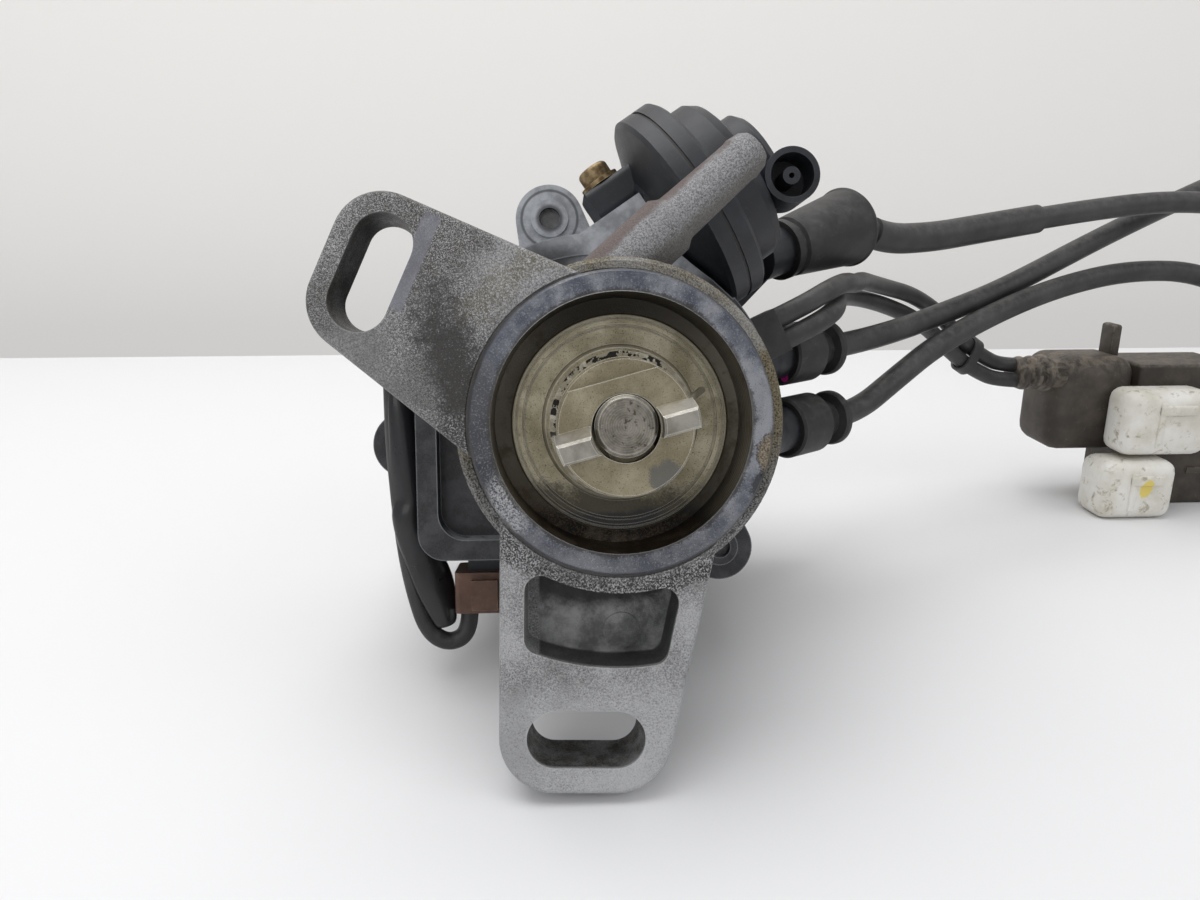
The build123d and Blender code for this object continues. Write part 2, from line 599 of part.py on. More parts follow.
def make_rear_bush():
    return tube(BUSH_RADIUS, SHAFT_RADIUS + RUNNING_FIT, BUSH_FRONT_DEPTH, WEB_BACK_DEPTH)


# ================================================================ governor and advance plate
WEIGHT_PIVOTS = {"a": on_circle(WEIGHT_PIVOT_RADIUS, 60), "b": on_circle(WEIGHT_PIVOT_RADIUS, 240)}
WEIGHT_ANGLES = {"a": 60, "b": 240}


def make_governor_plate():
    near, far = GOVERNOR_DEPTH, GOVERNOR_DEPTH + GOVERNOR_THICKNESS
    plate = disc(GOVERNOR_RADIUS, near, far) & slab(Rectangle(3 * GOVERNOR_RADIUS, GOVERNOR_WIDTH), near, far)
    plate -= disc(SHAFT_RADIUS, near - 1, far + 1)
    for place in WEIGHT_PIVOTS.values():
        plate += disc(WEIGHT_PIN_RADIUS, far, far + WEIGHT_THICKNESS + 0.6, place)
    return plate


def make_governor_weight(name):
    """A half-moon of steel that swings out on its pin as the shaft speeds up."""
    angle = WEIGHT_ANGLES[name]
    near = WEIGHT_DEPTH
    moon = Circle(GOVERNOR_RADIUS - 3.5) - Circle(9.5)
    half = Pos(*on_circle(15, angle + 30)) * Rot(0, 0, angle + 30) * Rectangle(13, 26)
    weight = slab(moon & half, near, near + WEIGHT_THICKNESS)
    return largest(weight - disc(WEIGHT_PIN_RADIUS + RUNNING_FIT, near - 1, near + 9, WEIGHT_PIVOTS[name]))


def make_governor_springs():
    springs = []
    for angle in (SPRING_ANGLE, SPRING_ANGLE + 180):
        depth = GOVERNOR_DEPTH + GOVERNOR_THICKNESS + SPRING_RADIUS + 0.5
        place = Location((*on_circle(SPRING_PLACE_RADIUS, angle), -depth), (0, 0, angle + 90))
        springs.append(place * Rot(0, 90, 0) * Cylinder(SPRING_RADIUS, SPRING_LENGTH))
    return Compound(children=[largest(spring) for spring in springs])


def make_cam_sleeve():
    """The sleeve on the shaft's nose: the governor turns it, and it carries reluctor and rotor."""
    sleeve = tube(CAM_RADIUS, SHAFT_NOSE_RADIUS + RUNNING_FIT, CAM_FRONT_DEPTH, CAM_BACK_DEPTH)
    sleeve += disc(CAM_RADIUS, SHAFT_BACK_DEPTH + 0.5, CAM_BACK_DEPTH)
    flat = slab(Pos(CAM_RADIUS, 0) * Rectangle(3, 20), ROTOR_FRONT_DEPTH, CAM_BACK_DEPTH + 1)
    return sleeve - flat


def make_reluctor():
    near = RELUCTOR_DEPTH
    star = Circle(RELUCTOR_RADIUS - 2.6)
    for i in range(RELUCTOR_TEETH):
        tooth = Pos(RELUCTOR_RADIUS / 2, 0) * Rectangle(RELUCTOR_RADIUS, 3.4)
        star += Rot(0, 0, 360 * i / RELUCTOR_TEETH) * tooth
    return slab(star - Circle(CAM_RADIUS), near, near + RELUCTOR_WIDTH)


def make_advance_plate():
    near, far = PLATE_DEPTH, PLATE_DEPTH + PLATE_THICKNESS
    pin = on_circle(VACUUM_OFFSET, VACUUM_TURN + 90)
    ear = make_hull(
        (Pos(*pin) * Circle(3.0)).edges() + (Pos(*on_circle(22, VACUUM_TURN + 90)) * Circle(5)).edges()
    )
    plate = slab(Circle(PLATE_RADIUS) + ear, near, far)
    plate -= disc(PLATE_BORE_RADIUS, near - 1, far + 1)
    for angle in (20, 200, 300):
        window = Rot(0, 0, angle) * Pos(19, 0) * SlotOverall(9, 4, rotation=90)
        plate -= slab(window, near - 1, far + 1)
    hole = Location((*pin, 0), (0, 0, VACUUM_TURN + 90)) * SlotOverall(4.4, 2 * ROD_PIN_RADIUS + 0.1)
    return plate - slab(hole, near - 1, far + 1)


def make_pickup_coil():
    near = PLATE_DEPTH + PLATE_THICKNESS
    tip = RELUCTOR_RADIUS + PICKUP_GAP
    body = Box(10, 14, 7, align=(Align.MIN, Align.CENTER, Align.MAX))
    core = Box(3.2, 3, RELUCTOR_WIDTH, align=(Align.MIN, Align.CENTER, Align.MAX))
    pickup = Pos(tip + 3, 0, -near) * body + Pos(tip, 0, -RELUCTOR_DEPTH) * core
    return Rot(0, 0, 215) * pickup


def make_rotor_arm():
    """The moulded rotor: a hub over the cam sleeve, an arm, and a fin that stiffens it."""
    hub = disc(ROTOR_RADIUS, ROTOR_FRONT_DEPTH, ROTOR_BACK_DEPTH - 4)
    hub = fillet(hub.edges().group_by(Axis.Z)[0], 2.0)
    neck = disc(CAM_RADIUS + 3, ROTOR_FRONT_DEPTH - ROTOR_NECK, ROTOR_BACK_DEPTH)
    bar = Pos(ROTOR_REACH / 2, 0) * Rectangle(ROTOR_REACH - 1, 9)
    arm = slab(bar, ROTOR_BACK_DEPTH - 6, ROTOR_BACK_DEPTH)
    rotor = hub + neck + arm
    recess = Pos(ROTOR_REACH / 2 - 2, 0) * Rectangle(ROTOR_REACH + 10, 5)
    strip = slab(recess, ROTOR_BACK_DEPTH - ROTOR_STRIP, CAP_BACK_DEPTH)
    bore = disc(CAM_RADIUS + 0.02, ROTOR_FRONT_DEPTH - ROTOR_NECK - 1, CAM_BACK_DEPTH + 0.02)
    key = slab(Pos(CAM_RADIUS, 0) * Rectangle(3, 20), ROTOR_FRONT_DEPTH, CAM_BACK_DEPTH + 0.02)
    return largest(rotor - strip - (bore - key))


def make_rotor_contact():
    strip = slab(
        Pos(ROTOR_REACH / 2 - 2, 0) * Rectangle(ROTOR_REACH + 4, 5),
        ROTOR_BACK_DEPTH - ROTOR_STRIP,
        ROTOR_BACK_DEPTH - 0.1,
    )
    return strip & disc(ROTOR_REACH, 0, CAP_BACK_DEPTH)


# ================================================================ vacuum advance unit
def vacuum_plane():
    return side_plane(VACUUM_TURN, VACUUM_OFFSET, VACUUM_DEPTH)


def capsule_relief():
    """What the housing and the cap give up so that the vacuum unit sits close in."""
    rim, back = RIM_REACH - RIM_WIDTH, RIM_REACH + DIAPHRAGM_THICKNESS + RIM_WIDTH
    return turned(
        [
            (0, ARM_REACH),
            (ARM_HALF_WIDTH + 5 + CAPSULE_GAP, ARM_REACH),
            (SHELL_RADIUS - 5 + CAPSULE_GAP, rim - 1.4 - CAPSULE_GAP),
            (SHELL_RADIUS + CAPSULE_GAP, rim - CAPSULE_GAP),
            (SHELL_RADIUS + CAPSULE_GAP, back + CAPSULE_GAP),
            (REAR_DOME_RADIUS + CAPSULE_GAP, back + CAPSULE_GAP),
            (REAR_DOME_RADIUS + CAPSULE_GAP, back + REAR_DOME_DEPTH + CAPSULE_GAP),
            (REAR_BOSS_RADIUS + CAPSULE_GAP, back + REAR_DOME_DEPTH + CAPSULE_GAP),
            (REAR_BOSS_RADIUS + CAPSULE_GAP, RIM_REACH + REAR_BOSS_REACH + 4),
            (0, RIM_REACH + REAR_BOSS_REACH + 4),
        ],
        vacuum_plane(),
    )


def make_vacuum_front_shell():
    """The half nearest the housing, with the tongue that its screw clamps to the arm."""
    wall, rim = SHELL_WALL, RIM_REACH - RIM_WIDTH
    shell = turned(
        [
            (ROD_WIDTH / 2 + 1.0, ARM_REACH),
            (ARM_HALF_WIDTH + 4, ARM_REACH),
            (ARM_HALF_WIDTH + 5, ARM_REACH + 1),
            (SHELL_RADIUS - 5, rim - 1.4),
            (SHELL_RADIUS - 1, rim),
            (SHELL_RADIUS, rim + 0.8),
            (SHELL_RADIUS, RIM_REACH),
            (SHELL_RADIUS - 4, RIM_REACH),
            (SHELL_RADIUS - 4, rim + wall - 0.4),
            (ARM_HALF_WIDTH + 3, ARM_REACH + wall),
            (ROD_WIDTH / 2 + 1.0, ARM_REACH + wall),
        ],
        vacuum_plane(),
    )
    top = VACUUM_OFFSET + ARM_HALF_WIDTH
    plane = side_plane(VACUUM_TURN, top, VACUUM_DEPTH)
    tongue_body = Box(
        SHELL_TONGUE_LENGTH,
        SHELL_TONGUE_HEIGHT,
        ARM_REACH + 10 - SCREW_REACH,
        align=(Align.CENTER, Align.MAX, Align.MIN),
    )
    tongue_body = fillet(tongue_body.edges().filter_by(Axis.Z), 1.5)
    shell += plane.location * Pos(0, 0, SCREW_REACH - 5) * tongue_body
    return largest(shell - gold_screw_hole())


def gold_screw_plane():
    """Across the arm, looking away from the shaft: the axis of the screw that holds the vacuum unit."""
    along = Vector(*on_circle(SCREW_REACH, VACUUM_TURN), -VACUUM_DEPTH + 2)
    out = Vector(*on_circle(1, VACUUM_TURN + 90), 0)
    return Plane(origin=along + out * (VACUUM_OFFSET + ARM_HALF_WIDTH), z_dir=out)


def gold_screw_hole():
    return gold_screw_plane().location * Cylinder(GOLD_SCREW_RADIUS - 0.5, 2 * SHELL_TONGUE_HEIGHT + 2)


def make_vacuum_screw():
    """A plated screw and its washer on the tongue of the vacuum unit."""
    seat = SHELL_TONGUE_HEIGHT
    washer = Pos(0, 0, seat + 0.5) * Cylinder(4.6, 1.0)
    head = Pos(0, 0, seat + 1.0 + 1.7) * Cylinder(GOLD_SCREW_RADIUS + 0.6, 3.4)
    head = fillet(head.edges().group_by(Axis.Z)[-1], 1.0) - Pos(0, 0, seat + 4.4) * Box(9, 1.0, 1.6)
    shank = Pos(0, 0, seat / 2 - 1) * Cylinder(GOLD_SCREW_RADIUS - 0.52, seat + 4)
    return gold_screw_plane().location * (washer + head + shank)


def make_vacuum_rear_shell():
    """The half away from the housing: a stepped dome, and the hose stub in its hood."""
    meet = RIM_REACH + DIAPHRAGM_THICKNESS
    rim = meet + RIM_WIDTH
    dome = rim + REAR_DOME_DEPTH
    boss = RIM_REACH + REAR_BOSS_REACH
    wall = SHELL_WALL
    shell = turned(
        [
            (SHELL_RADIUS - 4, meet),
            (SHELL_RADIUS, meet),
            (SHELL_RADIUS, rim - 0.8),
            (SHELL_RADIUS - 0.8, rim),
            (REAR_DOME_RADIUS + 0.6, rim + 0.4),
            (REAR_DOME_RADIUS, rim + 1.2),
            (REAR_DOME_RADIUS, dome - 3),
            (REAR_DOME_RADIUS - 1.4, dome - 0.8),
            (REAR_DOME_RADIUS - 3, dome),
            (REAR_BOSS_RADIUS + 0.6, dome + 0.4),
            (REAR_BOSS_RADIUS, dome + 1.4),
            (REAR_BOSS_RADIUS, boss - 1.5),
            (REAR_BOSS_RADIUS - 1.5, boss),
            (0, boss),
            (0, boss - wall),
            (REAR_BOSS_RADIUS - wall, boss - wall),
            (REAR_BOSS_RADIUS - wall, dome - wall + 1),
            (REAR_DOME_RADIUS - wall, dome - wall - 1),
            (REAR_DOME_RADIUS - wall, meet + 1.5),
        ],
        vacuum_plane(),
    )
    far = HOOD_FRONT_DEPTH + HOOD_LENGTH
    place = on_circle_plus(HOOD_ALONG, VACUUM_TURN, HOOD_ACROSS)
    root = on_circle_plus(RIM_REACH + 12, VACUUM_TURN, VACUUM_OFFSET - 6)
    neck = hull_between(place, root, HOOD_RADIUS - 1.0)
    shell += slab(neck, far - 3, far + 5) + disc(HOOD_RADIUS, HOOD_FRONT_DEPTH, far + 2, place)
    chamber = Cylinder(REAR_BOSS_RADIUS - wall, 14, align=(Align.CENTER, Align.CENTER, Align.MAX))
    shell -= vacuum_plane().location * Pos(0, 0, boss - wall) * chamber
    shell -= disc(HOOD_RADIUS - HOOD_WALL, HOOD_FRONT_DEPTH - 1, far - 1.5, place)
    shell += disc(STUB_RADIUS, HOOD_FRONT_DEPTH + 0.8, far, place)
    return largest(shell - disc(STUB_BORE_RADIUS, HOOD_FRONT_DEPTH - 1, far + 1, place))


def on_circle_plus(along, turn, across):
    return (
        along * cos(radians(turn)) - across * sin(radians(turn)),
        along * sin(radians(turn)) + across * cos(radians(turn)),
    )


def hull_between(first, second, radius):
    return make_hull((Pos(*first) * Circle(radius)).edges() + (Pos(*second) * Circle(radius)).edges())


def make_diaphragm():
    near = RIM_REACH
    return vacuum_plane().location * Pos(0, 0, near + DIAPHRAGM_THICKNESS / 2) * (
        Cylinder(SHELL_RADIUS - 0.4, DIAPHRAGM_THICKNESS) - Cylinder(ROD_DISC_RADIUS + 0.2, 9)
    )


def make_vacuum_spring():
    near = RIM_REACH + DIAPHRAGM_THICKNESS + 1.2
    length = RIM_REACH + REAR_BOSS_REACH - SHELL_WALL - near
    coil = Cylinder(7.0, length) - Cylinder(5.6, length + 1)
    return vacuum_plane().location * Pos(0, 0, near + length / 2) * coil


def make_vacuum_rod():
    """Centre plate, rod, and the pin that swings the advance plate."""
    step = PLATE_DEPTH - 1.0 - VACUUM_DEPTH
    start, end = ROD_JOG
    half = ROD_THICKNESS / 2
    middle = RIM_REACH + DIAPHRAGM_THICKNESS / 2
    plate = Pos(0, 0, middle) * Cylinder(ROD_DISC_RADIUS, DIAPHRAGM_THICKNESS + 1.6)
    side = [
        (half, RIM_REACH),
        (half, end),
        (half - step, start),
        (half - step, -ROD_FOOT),
        (-half - step, -ROD_FOOT),
        (-half - step, start),
        (-half, end),
        (-half, RIM_REACH),
    ]
    strip = extrude(Plane.XZ * make_face(Polyline(side, close=True)), amount=ROD_WIDTH / 2, both=True)
    pin = Pos(-step - 1.6, 0, 0) * Rot(0, 90, 0) * Cylinder(ROD_PIN_RADIUS, 4.0)
    return vacuum_plane().location * (plate + strip + pin)


# ================================================================ cap
def tower_places():
    """Where each lead tower starts, and the way it points."""
    places = {}
    columns = zip(("front", "back"), (TOWER_FRONT_DEPTH, TOWER_BACK_DEPTH), TOWER_REACHES)
    for column, depth, reach in columns:
        for row, height in zip(("upper", "lower"), TOWER_HEIGHTS):
            start = Vector((reach**2 - height**2) ** 0.5 - 1, height, -depth)
            places[f"{column}_{row}"] = (start, Vector(*TOWER_LEAN).normalized())
    places["coil"] = (Vector(*COIL_TOWER_PLACE), Vector(*COIL_TOWER_LEAN).normalized())
    return places


def tower_length(name):
    return COIL_TOWER_LENGTH if name == "coil" else TOWER_LENGTH


def make_cap():
    body = Pos(BOWL_SHIFT, 0, 0) * turned(
        [
            (0, -PARTING_DEPTH),
            (CAP_SKIRT_RADIUS, -PARTING_DEPTH),
            (CAP_SKIRT_RADIUS, -PARTING_DEPTH - 6),
            (CAP_SKIRT_RADIUS - 1.5, -PARTING_DEPTH - 7.5),
            (CAP_SKIRT_RADIUS - 1.5, -CAP_STEP_DEPTHS[0]),
            (CAP_RADIUS, -CAP_STEP_DEPTHS[1]),
            (CAP_RADIUS, -CAP_BACK_DEPTH + LUG_EDGE_ROUND),
            (CAP_RADIUS - LUG_EDGE_ROUND, -CAP_BACK_DEPTH),
            (0, -CAP_BACK_DEPTH),
        ]
    )
    for angle, place in ear_places():
        root = on_circle(CAP_SKIRT_RADIUS - 7, angle)
        body += slab(hull_between(place, root, EAR_RADIUS), PARTING_DEPTH, PARTING_DEPTH + CAP_EAR_THICKNESS)
    foot = Pos(0, -CAP_FOOT - 30, -CAP_BACK_DEPTH / 2) * Box(200, 60, CAP_BACK_DEPTH + 40)
    body -= foot
    low = body.edges().group_by(Axis.Y)[0].filter_by(Axis.X).sort_by(Axis.Z)[0]
    body = fillet([low], LUG_EDGE_ROUND)
    for name, (start, lean) in tower_places().items():
        plane = pointing(start, lean)
        length = tower_length(name)
        tower = Cylinder(TOWER_RADIUS, length, align=(Align.CENTER, Align.CENTER, Align.MIN))
        if name != "coil":
            root = Cone(TOWER_RADIUS + 3, TOWER_RADIUS, 15, align=(Align.CENTER, Align.CENTER, Align.MIN))
            tower += Pos(0, 0, -12) * root
        body += plane.location * tower
    body += slab(hull_between(PEDESTAL_ROOT, COIL_TOWER_PLACE[:2], TOWER_RADIUS), *PEDESTAL_DEPTHS)
    body -= capsule_relief()
    body -= disc(CAP_CAVITY_RADIUS, PARTING_DEPTH - 9, CAP_CAVITY_DEPTH)
    body -= seal_ring()
    body += tube(BRUSH_RADIUS + 3, BRUSH_RADIUS + 0.1, ROTOR_BACK_DEPTH + 4, CAP_CAVITY_DEPTH)
    body -= disc(BRUSH_RADIUS + 0.1, ROTOR_BACK_DEPTH, CAP_CAVITY_DEPTH + 6)
    for name, (start, lean) in tower_places().items():
        plane, length = pointing(start, lean), tower_length(name)
        bore = Cylinder(TOWER_BORE_RADIUS, 14, align=(Align.CENTER, Align.CENTER, Align.MAX))
        body -= plane.location * Pos(0, 0, length + 0.01) * bore
    for _, place in ear_places():
        back = PARTING_DEPTH + CAP_EAR_THICKNESS
        body -= disc(EAR_SCREW_RADIUS + 0.4, PARTING_DEPTH - 1, back + 1, place)
        body -= disc(EAR_SCREW_HEAD_RADIUS + FREE_GAP, back, back + EAR_SCREW_HEAD_HEIGHT + 3, place)
    for angle in TERMINAL_ANGLES:
        body += terminal_block(angle)
    return largest(body)


def terminal_block(angle):
    block = Pos(TERMINAL_RADIUS + 6.5, 0) * Rectangle(7, TERMINAL_WIDTH + 3)
    return slab(Rot(0, 0, angle) * block, ROTOR_BACK_DEPTH - 6, CAP_CAVITY_DEPTH + 1)


def make_cap_terminals():
    terminals = []
    for angle in TERMINAL_ANGLES:
        post = Pos(TERMINAL_RADIUS + 1.5, 0) * Rectangle(3, TERMINAL_WIDTH)
        terminals.append(slab(Rot(0, 0, angle) * post, ROTOR_BACK_DEPTH - 5, CAP_CAVITY_DEPTH))
    return Compound(children=[largest(post) for post in terminals])


def seal_ring():
    """The rubber ring in its groove of the cap's parting face."""
    return tube(SEAL_GROOVE_RADIUS + 1.2, SEAL_GROOVE_RADIUS - 1.2, PARTING_DEPTH, PARTING_DEPTH + 1.6)


def make_carbon_brush():
    near = ROTOR_BACK_DEPTH - 0.1
    brush = disc(BRUSH_RADIUS, near, near + BRUSH_LENGTH)
    return fillet(brush.edges().group_by(Axis.Z)[-1], 0.8)


def make_brush_spring():
    near = ROTOR_BACK_DEPTH - 0.1 + BRUSH_LENGTH
    return tube(BRUSH_RADIUS - 0.2, BRUSH_RADIUS - 1.0, near, CAP_CAVITY_DEPTH + 6)


# ================================================================ igniter and pick-up lead
def igniter_shape():
    left, low = BOWL_SHIFT - BOWL_RADIUS + BOWL_WALL - 0.6, -BOWL_FOOT + IGNITER_FLOOR
    width, tall = IGNITER_RIGHT - left, IGNITER_TOP - low
    box = Pos(left + width / 2, low + tall / 2) * Rectangle(width, tall)
    return slab(box - Circle(BOWL_BORE_RADIUS + 0.6), IGNITER_FRONT_DEPTH, PARTING_DEPTH - 1.0)


def igniter_stalk():
    x, depth = CONNECTOR_PLACE
    low, high = -BOWL_FOOT - STALK_DROP, -BOWL_FOOT + IGNITER_FLOOR + 1.5
    return Pos(x, (low + high) / 2, -depth) * Box(8, high - low, 8)


def make_igniter():
    bore = disc(BOWL_BORE_RADIUS + 0.6, 0, PARTING_DEPTH)
    return largest(igniter_shape() + igniter_stalk() - bore)


def make_igniter_plug():
    """The connector under the bowl, on the end of the pick-up lead."""
    x, depth = CONNECTOR_PLACE
    high = -BOWL_FOOT - STALK_DROP
    body = Box(IGNITER_PLUG_WIDTH, IGNITER_PLUG_HEIGHT, 13, align=(Align.CENTER, Align.MAX, Align.CENTER))
    body = fillet(body.edges().filter_by(Axis.Y), 1.2)
    latch = Pos(0, -1.5, 6.5) * Box(6, 7, 1.6, align=(Align.CENTER, Align.MAX, Align.MIN))
    return Pos(x, high, -depth) * (body + latch)


def make_pickup_grommet():
    """A rubber elbow on the left wall, where the pick-up's lead comes out and turns down."""
    elbow = plain_box(*PICKUP_GROMMET_BOX)
    return fillet(elbow.edges().filter_by(Axis.Z), 1.5)


def make_harness_grommet():
    return grommet_shape(HARNESS_GROMMET_REACH)


def grommet_shape(reach):
    block = Box(reach - 30, 11, 9, align=(Align.MIN, Align.CENTER, Align.MIN))
    return Pos(0, 0, -PARTING_DEPTH) * Rot(0, 0, HARNESS_TURN) * Pos(30, 0, 0) * block


# ================================================================ cords
def corner_radii(points):
    """At each corner of a route, the largest arc that its two runs leave room for."""
    radii = []
    for before, corner, after in zip(points, points[1:], points[2:]):
        first, second = Vector(*corner) - Vector(*before), Vector(*after) - Vector(*corner)
        half_turn = radians(first.get_angle(second)) / 2
        radii.append(0.45 * min(first.length, second.length) / tan(half_turn))
    return radii


def cord(name, points, radius):
    """A round cord along a route: straight runs joined by tangent arcs."""
    radii = corner_radii(points)
    path = FilletPolyline(*points, radius=radii)
    solid = sweep(Plane(origin=path @ 0, z_dir=path % 0) * Circle(radius), path=path)
    expected = pi * radius**2 * path.length
    print(f"{name}: {path.length:.0f} mm, volume ratio {solid.volume / expected:.4f}, "
          f"smallest arc {min(radii):.0f} mm, radii {[round(r) for r in radii]}")
    return solid


def make_plug_boot(mean):
    """The spark plug's end of a lead: a ribbed boot with a wider skirt, hollow at its mouth."""
    radius, length = PLUG_BOOT_RADIUS, PLUG_BOOT_LENGTH
    profile = [
        (0, 0),
        (LEAD_RADIUS + 1.2, 0),
        (LEAD_RADIUS + 1.8, 4),
        (LEAD_RADIUS + 2.0, 9),
        (radius - 1.6, 12),
        (radius - 1.6, length - 16),
        (radius, length - 14),
        (radius, length - 3),
        (radius - 0.8, length),
        (radius - 2.6, length),
        (radius - 2.6, length - 15),
        (0, length - 15),
    ]
    return turned(profile, pointing(mean, PLUG_BOOT_DIRECTION))


def make_tower_boot(name):
    """A boot on a lead tower: a thick barrel, a neck, and a disc to pull it off by."""
    start, lean = tower_places()[name]
    outer, neck, rim = BOOT_RADIUS, BOOT_NECK_RADIUS, BOOT_DISC_RADIUS
    gap, length = TOWER_RADIUS, BOOT_LENGTH
    profile = [
        (gap, BOOT_SEAT),
        (outer - 0.6, BOOT_SEAT),
        (outer, BOOT_SEAT + 0.6),
        (outer, TOWER_LENGTH + 3.5),
        (neck + 0.8, TOWER_LENGTH + 6.5),
        (neck, TOWER_LENGTH + 9),
        (neck, length - 5),
        (rim - 0.4, length - 4.4),
        (rim, length - 3.6),
        (rim, length - 2.4),
        (rim - 0.5, length - 1.8),
        (neck, length - 1.2),
        (neck - 0.6, length),
        (0, length),
        (0, TOWER_LENGTH),
        (gap, TOWER_LENGTH),
    ]
    return turned(profile, pointing(start, lean))


def make_coil_boot():
    """The coil lead's boot: a long barrel that flares to an open mouth."""
    start, lean = tower_places()["coil"]
    outer, mouth, length = COIL_BOOT_RADIUS, COIL_BOOT_MOUTH_RADIUS, COIL_BOOT_LENGTH
    barrel = turned(
        [
            (TOWER_RADIUS, COIL_BOOT_SEAT),
            (outer, COIL_BOOT_SEAT),
            (outer, COIL_BOOT_SEAT + 2.0),
            (outer - 0.9, COIL_BOOT_SEAT + 2.6),
            (outer - 0.9, COIL_BOOT_SEAT + 3.8),
            (outer, COIL_BOOT_SEAT + 4.4),
            (mouth - 0.5, length - 1.5),
            (mouth, length - 0.8),
            (mouth - 0.4, length),
            (mouth - 1.4, length),
            (mouth - 2.0, length - COIL_BOOT_HOLLOW),
            (0, length - COIL_BOOT_HOLLOW),
            (0, COIL_TOWER_LENGTH),
            (TOWER_RADIUS, COIL_TOWER_LENGTH),
        ],
        pointing(start, lean),
    )
    return barrel


# ================================================================ the connector at the harness's end
def plain_box(low, high):
    size = [b - a for a, b in zip(low, high)]
    middle = [(a + b) / 2 for a, b in zip(low, high)]
    return Pos(*middle) * Box(*size)


def world_box(low, high, edge):
    return fillet(plain_box(low, high).edges(), edge)


def make_plug_hood():
    """The brown hood that gathers the harness into its connector."""
    low, high = HOOD_BOX
    hood = world_box(low, high, 3.0)
    middle = ((low[1] + high[1]) / 2, (low[2] + high[2]) / 2)
    entry = Pos(low[0] + 4, HARNESS_ENTRY[1], HARNESS_ENTRY[2]) * Rot(0, -90, 0) * Cone(
        10, 6.4, 10, align=(Align.CENTER, Align.CENTER, Align.MIN)
    )
    tab = Pos(high[0] - 5, middle[0], high[2] + 4) * Box(3, 8, 12)
    return largest(hood + entry + tab)


def make_white_shells():
    shells = []
    for low, high in WHITE_BOXES:
        shell = world_box(low, high, 1.6)
        middle = Pos((low[0] + high[0]) / 2, low[1], (low[2] + high[2]) / 2)
        groove = middle * Box(high[0] - low[0] - 9, 1.6, 3)
        shells.append(largest(shell - groove))
    return shells


def make_rear_connector():
    low, high = REAR_BOX
    body = world_box(low, high, 1.2)
    for i in range(3):
        rib_height = low[2] + (high[2] - low[2]) * (i + 1) / 4
        body += Pos(high[0] - 8, low[1], rib_height) * Box(12, 1.6, 2)
    return largest(body)


# ================================================================ routes, lying on the bench
def laid(point):
    """A point of the distributor's own frame, as it lies on the bench."""
    return tuple((LAID * Pos(*point)).position)


def boot_end(name, reach):
    start, lean = tower_places()[name]
    return laid(start + lean * reach)


def harness_exit(side, reach):
    """A point on a harness cable, straight out of its grommet by the given reach."""
    along = Vector(*on_circle(HARNESS_GROMMET_REACH + reach, HARNESS_TURN), -HARNESS_EXIT_DEPTH)
    return laid(along + Vector(*on_circle(side * HARNESS_SPACING / 2, HARNESS_TURN + 90), 0))


HARNESS_ENTRY = (157, 150.7, -22.5)
LEAD_A_ROUTE = [
    boot_end("coil", COIL_BOOT_LENGTH - COIL_BOOT_HOLLOW),
    boot_end("coil", COIL_BOOT_LENGTH + 3),
    (86, 108, 26.5),
    (102, 114.5, 26.8),
    (122, 121.5, 29.3),
    (157, 132, 33.8),
    (190, 140.5, 36.8),
    (218, 146, 35.5),
    (240, 147, 27),
    (254, 143, 11),
    (262, 135, -9),
    (266, 125, -28),
    (269, 111, -44.5),
    (271, 95, -57),
    (272, 77, FLOOR + PLUG_BOOT_RADIUS),
    (272, 60, FLOOR + PLUG_BOOT_RADIUS),
]
LEAD_B_ROUTE = [
    boot_end("front_upper", BOOT_LENGTH),
    boot_end("front_upper", BOOT_LENGTH + 10),
    (94, 112.5, -0.6),
    (110, 120.5, 3),
    (134, 132, 9),
    (172, 147, 24),
    (203, 156, 36),
    (230, 164, 45.5),
    (253, 169, 47),
    (272, 170, 38),
    (285, 167, 20),
    (293, 160, -4),
    (298, 149, -27),
    (301, 136, -45),
    (302, 120, -57.5),
    (302, 102, FLOOR + PLUG_BOOT_RADIUS),
    (302, 85, FLOOR + PLUG_BOOT_RADIUS),
]
LEAD_C_ROUTE = [
    boot_end("front_lower", BOOT_LENGTH),
    boot_end("front_lower", BOOT_LENGTH + 10),
    (91, 105.5, -14.5),
    (106, 113, -5.5),
    (129, 122.5, 3.5),
    (154, 133, 10),
    (182, 143, 14),
    (211, 149.5, 13),
    (231, 150, 4),
    (243, 146, -12),
    (249, 137, -30),
    (251, 124, -46),
    (251.5, 108, -57.5),
    (251, 90, FLOOR + PLUG_BOOT_RADIUS),
    (251, 73, FLOOR + PLUG_BOOT_RADIUS),
]
HARNESS_LOWER_ROUTE = [
    harness_exit(-1, 0),
    harness_exit(-1, 8),
    (58, 66, 11),
    (62, 76, 11.8),
    (65.5, 88, 11.2),
    (70, 101, 10.5),
    (79, 116, 9),
    (92, 127, 5.5),
    (106, 134, 0),
    (116.5, 139.5, -7),
    (125.5, 144, -14.5),
    (135, 147, -20.6),
    (145, 149.5, -25),
    (HARNESS_ENTRY[0], 149.5, -25),
]
HARNESS_UPPER_ROUTE = [
    harness_exit(1, 0),
    harness_exit(1, 8),
    (56.5, 66, 16.6),
    (63.5, 75.5, 17.6),
    (70, 87, 15.9),
    (76, 100, 15.5),
    (83, 113, 13.5),
    (92, 124, 11),
    (105, 133.5, 7.4),
    (117.5, 140.5, 0.4),
    (128.1, 145.4, -9.7),
    (137.6, 148.4, -15.8),
    (146.5, 151.9, -20),
    (HARNESS_ENTRY[0], 151.9, -20),
]
